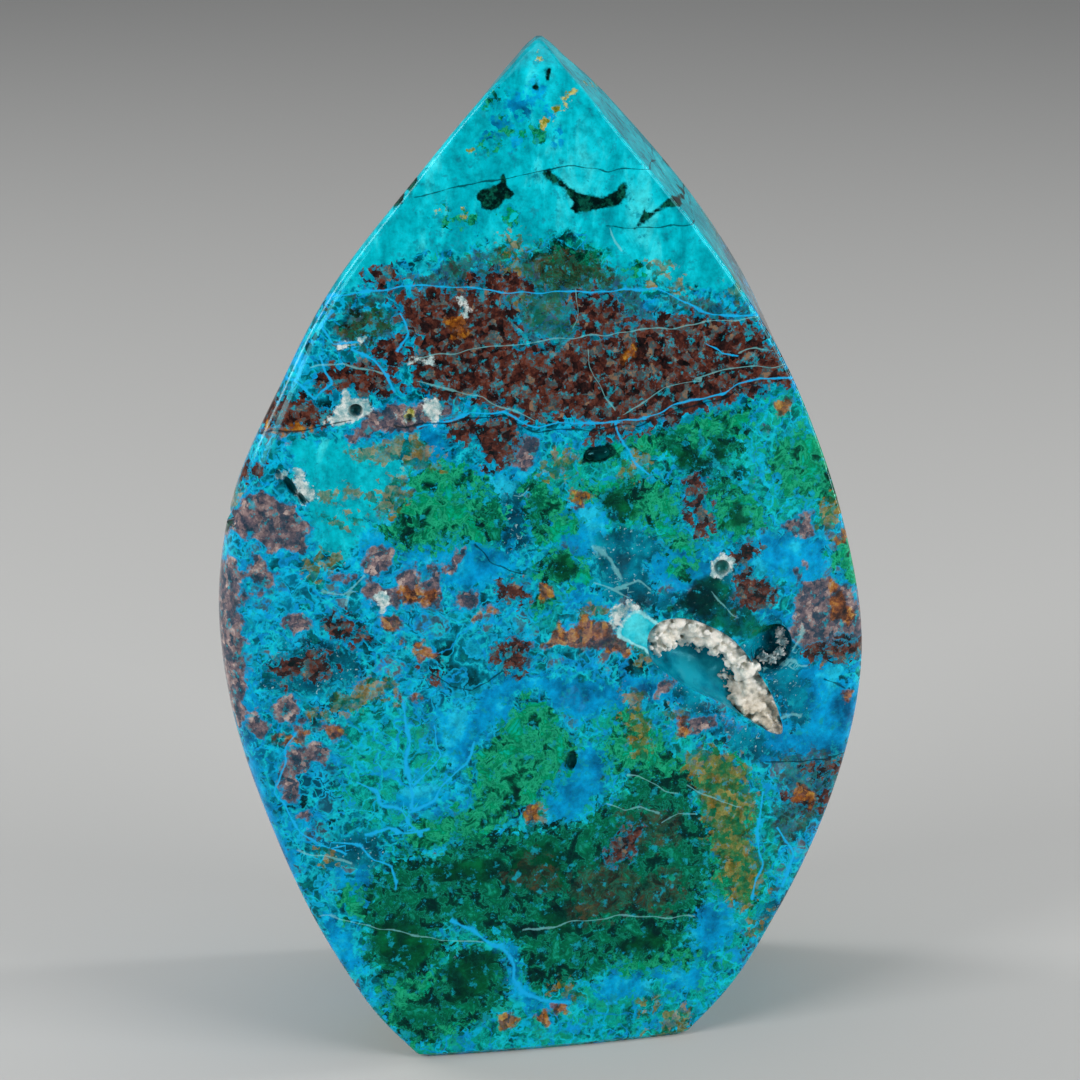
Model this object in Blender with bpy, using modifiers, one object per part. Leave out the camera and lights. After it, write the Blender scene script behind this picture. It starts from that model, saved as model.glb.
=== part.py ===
"""Chrysocolla freeform: a polished, free-standing leaf of natural chrysocolla stone.

The stone is one solid, cut from one lump. Its main hollow holds a crust of white
chalcedony, and a smaller hollow beside it holds a crust of quartz points. Metres, +Z up,
polished front towards -Y, flat base on z = 0.
"""

import math

import bmesh
import bpy
import numpy as np

MM = 0.001

# Driving dimensions of the stone.
HEIGHT = 150 * MM
# Half the thickness, as (height, half thickness) in millimetres.
HALF_DEPTH = (
    (0, 20.0), (30, 19.8), (75, 18.6), (110, 15.6), (127, 12.8), (137, 10.6), (143, 8.8),
    (147, 6.2), (149.2, 3.6), (150, 2.2),
)
# Half outlines of the polished front, as (height, distance from the middle) in millimetres.
RIGHT_EDGE = (
    (0, 22.2), (6, 28.2), (18, 36.0), (36, 44.2), (58, 48.4), (78, 45.3),
    (92, 40.8), (104, 35.6), (123, 23.3), (137, 11.9), (143, 6.9), (147, 3.2), (149.2, 1.2),
    (150, 0.3),
)
LEFT_EDGE = (
    (0, -18.2), (6, -23.6), (17, -30.5), (35, -38.9), (57, -46.2), (74, -47.5), (88, -44.9),
    (103, -38.0), (118, -29.6), (132, -18.2), (143, -8.4), (147, -4.3), (149.2, -1.9), (150, -0.8),
)
# Rounding of the two long front edges, as (height, radius) in millimetres.
FRONT_LEFT_ROUND = ((0, 1.2), (30, 2.0), (60, 6.0), (85, 6.5), (110, 3.6), (135, 2.2), (150, 1.0))
FRONT_RIGHT_ROUND = ((0, 1.0), (60, 1.6), (100, 0.8), (150, 0.5))
BACK_ROUND = 3.5 * MM
BASE_CHAMFER = 0.7 * MM
# The front runs away from the viewer towards its right edge, and bulges a little.
FRONT_SKEW = 0.19
FRONT_BULGE = 2.0
BACK_SHARE_OF_SKEW = 0.25
# How far the back outline lies inside the front one, as (height, inset) in millimetres.
BACK_INSET_LEFT = ((0, 4.0), (60, 5.4), (130, 5.0), (143, 2.4), (150, 0.2))
BACK_INSET_RIGHT = ((0, 2.0), (60, 2.6), (96, 2.4), (115, 0.2), (140, -0.9), (150, 0))

# Segments round one level: front, side walls, back, and each rounded corner.
FRONT_STEPS = 16
WALL_STEPS = 4
BACK_STEPS = 10
CORNER_STEPS = 3
LEVEL_STEPS = 36

# Gap between a crust and the stone that it grows on.
CRUST_GAP = 0.45 * MM

# Middle line of the main hollow on the front, as (x, z) in millimetres.
MAIN_HOLLOW_LINE = ((16.2, 65.8), (20.4, 62.8), (25.4, 59.4), (30.4, 54.6), (36.2, 47.2))
MAIN_HOLLOW_HALF_WIDTH = 5.3 * MM
MAIN_HOLLOW_DEPTH = 4.8 * MM
MAIN_HOLLOW_TAPER = 0.5
MAIN_HOLLOW_SINK = 0.15

# Rounded lumps of each crust, as (x, z, depth of the centre, radius) in millimetres.
MAIN_CRUST_LUMPS = (
    (18.0, 66.1, 2.9, 2.1), (18.7, 63.3, 3.2, 1.9), (20.2, 66.0, 2.9, 2.2), (22.4, 64.9, 2.8, 2.4),
    (24.9, 63.6, 2.6, 2.2), (27.2, 61.7, 2.4, 1.9), (29.1, 59.6, 2.2, 1.6), (30.8, 57.2, 2.2, 1.8),
    (31.8, 54.4, 2.5, 2.1), (30.9, 51.9, 2.9, 2.3), (32.6, 50.3, 2.4, 1.8), (34.3, 48.5, 1.9, 1.3),
)
SIDE_CRUST_LUMPS = (
    (35.7, 62.7, 2.0, 1.0), (36.1, 61.2, 1.8, 1.0), (35.7, 59.7, 1.8, 1.1), (34.5, 58.7, 1.9, 1.1),
    (33.2, 59.0, 2.2, 1.1),
)

# Small open pits, as (x, z, half width, half height, depth, tilt in degrees) in millimetres.
PITS = {
    "side_hollow": (34.3, 60.9, 3.1, 3.9, 3.6, -12),
    "dark_pit": (8.2, 92.6, 2.0, 1.1, 1.6, 4),
    "ringed_pit": (26.6, 74.2, 1.2, 1.2, 1.1, 0),
    "eyed_pit": (-26.2, 100.4, 1.1, 1.0, 1.2, 0),
    "speck_pit": (-18.6, 99.2, 0.6, 0.6, 0.8, 0),
    "slit_pit_1": (-37.2, 91.0, 0.6, 1.2, 1.0, 20),
    "slit_pit_2": (-35.6, 89.6, 0.7, 1.9, 1.2, 32),
    "slit_pit_3": (-34.0, 87.8, 0.5, 1.1, 0.9, 30),
    "low_pit": (4.6, 46.2, 0.8, 1.3, 1.1, -10),
}
# The chip out of the left edge, as (x, z, half height, depth) in millimetres.
EDGE_CHIP = (-45.6, 84.0, 1.1, 1.6)


def smooth_curve(keys, at):
    """The value at each place of a smooth curve through (place, value) keys."""
    places, values = np.array(keys, float).T
    slopes = np.gradient(values, places)
    at = np.clip(np.asarray(at, float), places[0], places[-1])
    index = np.clip(np.searchsorted(places, at, side="right") - 1, 0, len(places) - 2)
    span = places[index + 1] - places[index]
    share = (at - places[index]) / span
    start = (1 + 2 * share) * (1 - share) ** 2 * values[index]
    start_slope = share * (1 - share) ** 2 * span * slopes[index]
    end = share**2 * (3 - 2 * share) * values[index + 1]
    end_slope = share**2 * (share - 1) * span * slopes[index + 1]
    return start + start_slope + end + end_slope


def half_depth(height):
    """Half the thickness of the stone at each height, in metres."""
    return smooth_curve(HALF_DEPTH, height / MM) * MM


def front_bend(x):
    """How far back the front lies at x, next to where it is at x = 0."""
    return FRONT_SKEW * x + FRONT_BULGE * x**2


def front_face(x, z):
    """The y of the polished front at (x, z)."""
    return front_bend(x) - half_depth(z)


def level_heights(steps):
    """Heights of the stone's levels, closer together near the tip and at the base chamfer."""
    shares = np.linspace(0, 1, steps)
    heights = HEIGHT * (1 - (1 - shares) ** 1.5)
    return np.concatenate(([0.0], [BASE_CHAMFER], heights[1:]))


def corner(centre, radius, start_angle, steps):
    """Points of a quarter circle, without its first point."""
    angles = math.radians(start_angle) + np.linspace(0, math.pi / 2, steps + 1)[1:]
    return np.stack((centre[0] + radius * np.cos(angles), centre[1] + radius * np.sin(angles)), 1)


def straight(start, end, steps):
    """Points of a straight side, without its first point."""
    shares = np.linspace(0, 1, steps + 1)[1:, None]
    return np.array(start) * (1 - shares) + np.array(end) * shares


def level_outline(height):
    """Closed outline of one level before it is bent, anticlockwise from above: (x, y) rows."""
    inset = BASE_CHAMFER if height == 0 else 0.0
    height_mm = height / MM
    left = float(smooth_curve(LEFT_EDGE, height_mm)) * MM + inset
    right = float(smooth_curve(RIGHT_EDGE, height_mm)) * MM - inset
    front = float(half_depth(height)) - inset
    most = 0.42 * (right - left)
    front_left = min(float(smooth_curve(FRONT_LEFT_ROUND, height_mm)) * MM, most)
    front_right = min(float(smooth_curve(FRONT_RIGHT_ROUND, height_mm)) * MM, most)
    back = min(BACK_ROUND, most)
    sides = (
        straight((left + front_left, -front), (right - front_right, -front), FRONT_STEPS),
        corner((right - front_right, front_right - front), front_right, -90, CORNER_STEPS),
        straight((right, front_right - front), (right, front - back), WALL_STEPS),
        corner((right - back, front - back), back, 0, CORNER_STEPS),
        straight((right - back, front), (left + back, front), BACK_STEPS),
        corner((left + back, front - back), back, 90, CORNER_STEPS),
        straight((left, front - back), (left, front_left - front), WALL_STEPS),
        corner((left + front_left, front_left - front), front_left, 180, CORNER_STEPS),
    )
    return np.concatenate(sides)


def bent_level(height):
    """Points of one level in space: narrower to the back, and bent with the front."""
    flat = level_outline(height)
    depth = float(half_depth(height))
    back_share = (flat[:, 1] + depth) / (2 * depth)
    left, right = flat[:, 0].min(), flat[:, 0].max()
    across = (flat[:, 0] - left) / (right - left)
    inset_left = smooth_curve(BACK_INSET_LEFT, height / MM) * MM
    inset_right = smooth_curve(BACK_INSET_RIGHT, height / MM) * MM
    x = flat[:, 0] + (inset_left * (1 - across) - inset_right * across) * back_share
    y = flat[:, 1] + front_bend(x) * (1 - (1 - BACK_SHARE_OF_SKEW) * back_share)
    return np.stack((x, y, np.full_like(x, height)), 1)


def collection_named(name):
    """A new collection in the scene."""
    collection = bpy.data.collections.new(name)
    bpy.context.scene.collection.children.link(collection)
    return collection


def material_named(name, hex_colour, roughness):
    """A Principled material from an sRGB colour such as 1287A8."""
    channels = [int(hex_colour[i : i + 2], 16) / 255 for i in (0, 2, 4)]
    linear = [c / 12.92 if c <= 0.04045 else ((c + 0.055) / 1.055) ** 2.4 for c in channels]
    material = bpy.data.materials.new(name)
    material.use_nodes = True
    shader = material.node_tree.nodes["Principled BSDF"]
    shader.inputs["Base Color"].default_value = (*linear, 1)
    shader.inputs["Roughness"].default_value = roughness
    shader.inputs["Metallic"].default_value = 0
    return material


def object_from(name, bm, collection, smooth=True):
    """A mesh object made from a bmesh, in a collection."""
    bmesh.ops.recalc_face_normals(bm, faces=bm.faces)
    mesh = bpy.data.meshes.new(name)
    bm.to_mesh(mesh)
    bm.free()
    if smooth:
        mesh.shade_smooth()
    obj = bpy.data.objects.new(name, mesh)
    collection.objects.link(obj)
    return obj


def cutter_from(name, bm, collection):
    """A helper object that only cuts."""
    obj = object_from(name, bm, collection)
    obj.hide_render = True
    obj.display_type = "WIRE"
    return obj


def cut(obj, cutter):
    """Cut one object out of another with an exact Boolean."""
    modifier = obj.modifiers.new(f"Cut {cutter.name}", "BOOLEAN")
    modifier.operation = "DIFFERENCE"
    modifier.solver = "EXACT"
    modifier.object = cutter


def stone_blank(collection):
    """The shaped stone before its hollows: a grid wrapped round the levels and closed."""
    levels = [bent_level(height) for height in level_heights(LEVEL_STEPS)]
    columns = len(levels[0])
    rows = len(levels) - 1
    bm = bmesh.new()
    bmesh.ops.create_grid(bm, x_segments=columns, y_segments=rows, size=1)
    for vert in bm.verts:
        column = round((vert.co.x + 1) / 2 * columns) % columns
        row = round((vert.co.y + 1) / 2 * rows)
        vert.co = levels[row][column]
    bmesh.ops.remove_doubles(bm, verts=bm.verts, dist=1e-7)
    bmesh.ops.holes_fill(bm, edges=bm.edges, sides=0)
    return object_from("stone", bm, collection)


def pit_cutter(name, place, collection):
    """An ellipsoid that sinks a pit square into the front."""
    x, z, half_width, half_height, depth, tilt = place
    bm = bmesh.new()
    bmesh.ops.create_icosphere(bm, subdivisions=2, radius=1)
    turn = math.radians(tilt)
    for vert in bm.verts:
        across = vert.co.x * half_width
        up = vert.co.z * half_height
        pit_x = (x + across * math.cos(turn) - up * math.sin(turn)) * MM
        pit_z = (z + across * math.sin(turn) + up * math.cos(turn)) * MM
        pit_y = front_face(pit_x, pit_z) + vert.co.y * depth * MM
        vert.co = (pit_x, pit_y, pit_z)
    return cutter_from(name, bm, collection)


def chip_cutter(collection):
    """A small ball that nicks the left edge."""
    x, z, half_height, depth = EDGE_CHIP
    bm = bmesh.new()
    bmesh.ops.create_icosphere(bm, subdivisions=2, radius=1)
    for vert in bm.verts:
        chip_x = (x + vert.co.x * depth * 1.3) * MM
        chip_z = (z + vert.co.z * half_height) * MM
        chip_y = front_face(x * MM, z * MM) + (4.5 + vert.co.y * 5) * MM
        vert.co = (chip_x, chip_y, chip_z)
    return cutter_from("edge_chip", bm, collection)


def main_hollow_cutter(collection):
    """A bean along the middle line of the main hollow, tapered to its lower end."""
    line = np.array(MAIN_HOLLOW_LINE) * MM
    shares = np.linspace(0, 1, len(line))
    x_keys = tuple(zip(shares, line[:, 0]))
    z_keys = tuple(zip(shares, line[:, 1]))
    bm = bmesh.new()
    bmesh.ops.create_icosphere(bm, subdivisions=3, radius=1)
    for vert in bm.verts:
        along = (vert.co.x + 1) / 2
        x, ahead_x = smooth_curve(x_keys, (along, along + 0.01))
        z, ahead_z = smooth_curve(z_keys, (along, along + 0.01))
        back_x, back_z = smooth_curve(x_keys, along - 0.01), smooth_curve(z_keys, along - 0.01)
        run = np.array((ahead_x - back_x, ahead_z - back_z))
        normal_x, normal_z = np.array((-run[1], run[0])) / np.linalg.norm(run)
        width = vert.co.z * MAIN_HOLLOW_HALF_WIDTH * (1 - MAIN_HOLLOW_TAPER * along**2)
        x, z = x + normal_x * width, z + normal_z * width
        y = front_face(x, z) + (vert.co.y + MAIN_HOLLOW_SINK) * MAIN_HOLLOW_DEPTH
        vert.co = (x, y, z)
    return cutter_from("main_hollow", bm, collection)


def lump_balls(lumps, extra):
    """Overlapping balls, each larger than its lump by extra."""
    bm = bmesh.new()
    for x, z, depth, radius in lumps:
        centre_y = front_face(x * MM, z * MM) + depth * MM
        made = bmesh.ops.create_icosphere(bm, subdivisions=3, radius=radius * MM + extra)
        bmesh.ops.translate(bm, verts=made["verts"], vec=(x * MM, centre_y, z * MM))
    return bm


def skinned(obj, voxel):
    """Wrap overlapping balls in one closed skin."""
    modifier = obj.modifiers.new("One skin", "REMESH")
    modifier.mode = "VOXEL"
    modifier.voxel_size = voxel
    modifier.use_smooth_shade = True
    return obj


def crust(name, lumps, voxel, parts, cutters):
    """One crust solid, and the bed that it needs in the stone."""
    body = skinned(object_from(name, lump_balls(lumps, 0.0), parts), voxel)
    bed = skinned(cutter_from(f"{name}_bed", lump_balls(lumps, CRUST_GAP), cutters), voxel)
    return body, bed


def main():
    """Clear the scene, then build the stone and its crusts."""
    for obj in list(bpy.data.objects):
        bpy.data.objects.remove(obj)
    parts = collection_named("chrysocolla_freeform")
    cutters = collection_named("cutters")

    stone = stone_blank(parts)
    stone.data.materials.append(material_named("polished_chrysocolla", "1388A6", 0.12))
    cut(stone, main_hollow_cutter(cutters))
    for name, place in PITS.items():
        cut(stone, pit_cutter(name, place, cutters))
    cut(stone, chip_cutter(cutters))

    chalcedony, chalcedony_bed = crust("chalcedony_crust", MAIN_CRUST_LUMPS, 0.8 * MM, parts, cutters)
    chalcedony.data.materials.append(material_named("white_chalcedony", "D9D6C8", 0.45))
    cut(stone, chalcedony_bed)
    druse, druse_bed = crust("quartz_druse", SIDE_CRUST_LUMPS, 0.5 * MM, parts, cutters)
    druse.data.materials.append(material_named("clear_quartz_points", "C9D8D8", 0.2))
    cut(stone, druse_bed)


main()
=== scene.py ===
"""Looks of the chrysocolla freeform: a polished leaf of natural stone with quartz-lined hollows."""

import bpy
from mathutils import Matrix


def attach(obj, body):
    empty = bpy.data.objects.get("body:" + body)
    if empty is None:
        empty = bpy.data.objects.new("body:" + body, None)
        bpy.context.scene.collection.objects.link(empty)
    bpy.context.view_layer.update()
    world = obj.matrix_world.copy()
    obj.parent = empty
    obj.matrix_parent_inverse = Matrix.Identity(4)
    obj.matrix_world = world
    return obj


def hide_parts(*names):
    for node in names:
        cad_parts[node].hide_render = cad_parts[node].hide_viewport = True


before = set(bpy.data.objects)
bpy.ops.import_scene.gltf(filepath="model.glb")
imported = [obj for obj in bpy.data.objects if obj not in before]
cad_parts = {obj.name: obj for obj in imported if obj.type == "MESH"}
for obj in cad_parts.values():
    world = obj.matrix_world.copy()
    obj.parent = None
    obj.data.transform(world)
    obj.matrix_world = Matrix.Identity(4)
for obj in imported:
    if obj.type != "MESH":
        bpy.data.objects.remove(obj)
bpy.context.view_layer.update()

import logging
import math
from dataclasses import dataclass
from enum import Enum
from typing import Any

import bmesh
import bpy
import numpy as np
from mathutils import Vector

MM = 0.001
log = logging.getLogger("chrysocolla")

Key = tuple[float, float]
Outline = tuple[Key, ...]
Key3 = tuple[float, float, float]
Array = np.ndarray
# One ball of a crust: x and z on the front, depth of its middle behind the front, and radius.
Lump = tuple[float, float, float, float]


def smooth_curve(keys: Outline, at: Any) -> Array:
    """Read a smooth curve through (place, value) keys.

    Args:
        keys: places in rising order, each with its value.
        at: one place or an array of places.

    Returns:
        The value at each place.
    """
    places, values = np.array(keys, float).T
    slopes = np.gradient(values, places)
    at = np.clip(np.asarray(at, float), places[0], places[-1])
    index = np.clip(np.searchsorted(places, at, side="right") - 1, 0, len(places) - 2)
    span = places[index + 1] - places[index]
    share = (at - places[index]) / span
    start = (1 + 2 * share) * (1 - share) ** 2 * values[index]
    start_slope = share * (1 - share) ** 2 * span * slopes[index]
    end = share**2 * (3 - 2 * share) * values[index + 1]
    end_slope = share**2 * (share - 1) * span * slopes[index + 1]
    return start + start_slope + end + end_slope


def quarter(centre: Key, radius: float, start_angle: float, steps: int) -> Array:
    """Points of a quarter circle, without its first point."""
    angles = math.radians(start_angle) + np.linspace(0, math.pi / 2, steps + 1)[1:]
    return np.stack((centre[0] + radius * np.cos(angles), centre[1] + radius * np.sin(angles)), 1)


def straight(start: Key, end: Key, steps: int) -> Array:
    """Points of a straight side, without its first point."""
    shares = np.linspace(0, 1, steps + 1)[1:, None]
    return np.array(start) * (1 - shares) + np.array(end) * shares


class StoneNoise:
    """Smooth random values on a lattice, the same on every run."""

    table_size = 4096
    # Large primes that scatter neighbouring lattice cells over the table.
    scatter = (73856093, 19349663, 83492791)

    def __init__(self, seed: int) -> None:
        """Fill the table of random values."""
        self.table = np.random.default_rng(seed).uniform(-1, 1, self.table_size)

    def at(self, points: Array, size: float) -> Array:
        """Read the noise.

        Args:
            points: rows of (x, y, z).
            size: width of one bump, in the points' unit.

        Returns:
            A value from -1 to 1 for each point.
        """
        scaled = points / size
        cell = np.floor(scaled).astype(np.int64)
        part = scaled - cell
        part = part * part * (3 - 2 * part)
        total = np.zeros(len(points))
        for corner in range(8):
            step = np.array((corner & 1, corner >> 1 & 1, corner >> 2 & 1))
            weight = np.prod(np.where(step, part, 1 - part), axis=1)
            mixed = np.bitwise_xor.reduce((cell + step) * np.array(self.scatter), axis=1)
            total += weight * self.table[mixed & (self.table_size - 1)]
        return total


# ---------------------------------------------------------------------------------------
# Shape


@dataclass
class StoneShape:
    """The cut and polished stone: front towards -Y, flat base on z = 0. Keys are in millimetres."""

    height: float = 150 * MM
    half_depth_keys: Outline = (
        (0, 20.0), (30, 19.8), (75, 18.6), (110, 15.6), (127, 12.8), (137, 10.6), (143, 8.8),
        (147, 6.2), (149.2, 3.6), (150, 2.2),
    )
    right_edge: Outline = (
        (0, 22.2), (6, 28.2), (18, 36.0), (36, 44.2), (58, 48.4), (78, 45.3),
        (92, 40.8), (104, 35.6), (123, 23.3), (137, 11.9), (143, 6.9), (147, 3.2), (149.2, 1.2),
        (150, 0.3),
    )
    left_edge: Outline = (
        (0, -18.2), (6, -23.6), (17, -30.5), (35, -38.9), (57, -46.2), (74, -47.5), (88, -44.9),
        (103, -38.0), (118, -29.6), (132, -18.2), (143, -8.4), (147, -4.3), (149.2, -1.9), (150, -0.8),
    )
    front_left_round: Outline = (
        (0, 1.2), (30, 2.0), (60, 6.0), (85, 6.5), (110, 3.6), (135, 2.2), (150, 1.0),
    )
    front_right_round: Outline = ((0, 1.0), (60, 1.6), (100, 0.8), (150, 0.5))
    back_round: float = 3.5 * MM
    base_chamfer: float = 0.7 * MM
    # No corner's radius is over this share of the stone's width there.
    most_round: float = 0.42
    front_skew: float = 0.19
    front_bulge: float = 2.0
    back_share_of_skew: float = 0.25
    back_inset_left: Outline = ((0, 4.0), (60, 5.4), (130, 5.0), (143, 2.4), (150, 0.2))
    back_inset_right: Outline = ((0, 2.0), (60, 2.6), (96, 2.4), (115, 0.2), (140, -0.9), (150, 0))
    front_steps: int = 190
    left_corner_steps: int = 10
    corner_steps: int = 4
    wall_steps: int = 14
    back_steps: int = 44
    level_steps: int = 296
    # Over 1, the levels come closer together towards the tip.
    tip_crowding: float = 1.15
    weld: float = 1e-7

    def half_depth(self, height: Any) -> Array:
        """Half the thickness at each height, in metres."""
        return smooth_curve(self.half_depth_keys, np.asarray(height) / MM) * MM

    def front_bend(self, x: Any) -> Any:
        """How far back the front lies at x, next to where it is at x = 0."""
        return self.front_skew * x + self.front_bulge * x**2

    def front_face(self, x: Any, z: Any) -> Any:
        """The y of the polished front at (x, z)."""
        return self.front_bend(x) - self.half_depth(z)

    def level_heights(self) -> Array:
        """Place the levels, closer together near the tip and at the base chamfer.

        Returns:
            Their heights in metres, from the base up.
        """
        shares = np.linspace(0, 1, self.level_steps)
        heights = self.height * (1 - (1 - shares) ** self.tip_crowding)
        heights[-1] = self.height
        return np.concatenate(([0.0], [self.base_chamfer], heights[2:]))

    def level_outline(self, height: float) -> Array:
        """Draw one level before it is bent.

        Args:
            height: the level's height in metres.

        Returns:
            Rows of (x, y) in metres, anticlockwise from above.
        """
        inset = self.base_chamfer if height == 0 else 0.0
        left = float(smooth_curve(self.left_edge, height / MM)) * MM + inset
        right = float(smooth_curve(self.right_edge, height / MM)) * MM - inset
        front = float(self.half_depth(height)) - inset
        most = self.most_round * (right - left)
        round_left = min(float(smooth_curve(self.front_left_round, height / MM)) * MM, most)
        round_right = min(float(smooth_curve(self.front_right_round, height / MM)) * MM, most)
        back = min(self.back_round, most)
        corner, walls = self.corner_steps, self.wall_steps
        sides = (
            straight((left + round_left, -front), (right - round_right, -front), self.front_steps),
            quarter((right - round_right, round_right - front), round_right, -90, corner),
            straight((right, round_right - front), (right, front - back), walls),
            quarter((right - back, front - back), back, 0, corner),
            straight((right - back, front), (left + back, front), self.back_steps),
            quarter((left + back, front - back), back, 90, corner),
            straight((left, front - back), (left, round_left - front), walls),
            quarter((left + round_left, round_left - front), round_left, 180, self.left_corner_steps),
        )
        return np.concatenate(sides)

    def bent_level(self, height: float) -> Array:
        """Place one level in space: narrower to the back, and bent with the front.

        Args:
            height: the level's height in metres.

        Returns:
            Rows of (x, y, z) in metres.
        """
        flat = self.level_outline(height)
        depth = float(self.half_depth(height))
        back_share = (flat[:, 1] + depth) / (2 * depth)
        left, right = flat[:, 0].min(), flat[:, 0].max()
        across = (flat[:, 0] - left) / (right - left)
        inset_left = smooth_curve(self.back_inset_left, height / MM) * MM
        inset_right = smooth_curve(self.back_inset_right, height / MM) * MM
        x = flat[:, 0] + (inset_left * (1 - across) - inset_right * across) * back_share
        y = flat[:, 1] + self.front_bend(x) * (1 - (1 - self.back_share_of_skew) * back_share)
        return np.stack((x, y, np.full_like(x, height)), 1)

    def blank(self) -> bmesh.types.BMesh:
        """The stone before its hollows: a grid wrapped round the levels and closed.

        Returns:
            A closed bmesh with outward faces.
        """
        levels = [self.bent_level(height) for height in self.level_heights()]
        columns = len(levels[0])
        rows = len(levels) - 1
        bm = bmesh.new()
        bmesh.ops.create_grid(bm, x_segments=columns, y_segments=rows, size=1)
        for vert in bm.verts:
            column = round((vert.co.x + 1) / 2 * columns) % columns
            row = round((vert.co.y + 1) / 2 * rows)
            vert.co = levels[row][column]
        bmesh.ops.remove_doubles(bm, verts=bm.verts, dist=self.weld)
        bmesh.ops.holes_fill(bm, edges=bm.edges, sides=0)
        bmesh.ops.recalc_face_normals(bm, faces=bm.faces)
        return bm


def object_from(name: str, bm: bmesh.types.BMesh) -> bpy.types.Object:
    """Turn a bmesh into a smooth-shaded object in the scene.

    Args:
        name: the piece's name.
        bm: the mesh, which is freed.

    Returns:
        The new object.
    """
    mesh = bpy.data.meshes.new(name)
    bm.to_mesh(mesh)
    bm.free()
    mesh.shade_smooth()
    obj = bpy.data.objects.new(name, mesh)
    bpy.context.scene.collection.objects.link(obj)
    return obj


def read_rows(mesh: bpy.types.Mesh, name: str) -> Array:
    """Read a triple of numbers from each of a mesh's points.

    Args:
        mesh: the mesh.
        name: "co" for the places or "normal" for the normals.

    Returns:
        One row per point.
    """
    values = np.empty(len(mesh.vertices) * 3)
    mesh.vertices.foreach_get(name, values)
    return values.reshape(-1, 3)


def settle_modifiers(obj: bpy.types.Object) -> None:
    """Replace an object's mesh by its finished form, so that no modifier stays live.

    Args:
        obj: the object with its modifiers.
    """
    graph = bpy.context.evaluated_depsgraph_get()
    finished = bpy.data.meshes.new_from_object(obj.evaluated_get(graph))
    old = obj.data
    obj.modifiers.clear()
    obj.data = finished
    bpy.data.meshes.remove(old)
    finished.name = obj.name


def skin_of_balls(name: str, balls: Array, voxel: float, small: float = 1 * MM) -> bpy.types.Object:
    """Wrap overlapping balls in one closed skin.

    Args:
        name: the new object's name.
        balls: rows of (x, y, z, radius), in metres.
        voxel: size of the skin's faces.
        small: balls up to this radius need fewer faces.

    Returns:
        The skinned object, with its modifier settled.
    """
    bm = bmesh.new()
    for x, y, z, radius in balls:
        made = bmesh.ops.create_icosphere(bm, subdivisions=3 if radius > small else 2, radius=radius)
        bmesh.ops.translate(bm, verts=made["verts"], vec=(x, y, z))
    obj = object_from(name, bm)
    skin = obj.modifiers.new("One skin", "REMESH")
    skin.mode = "VOXEL"
    skin.voxel_size = voxel
    skin.use_smooth_shade = True
    settle_modifiers(obj)
    return obj


@dataclass(frozen=True)
class Pit:
    """A small hollow in the front, in millimetres, turned by its tilt in degrees."""

    x: float
    z: float
    half_width: float
    half_height: float
    depth: float
    tilt: float


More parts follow.
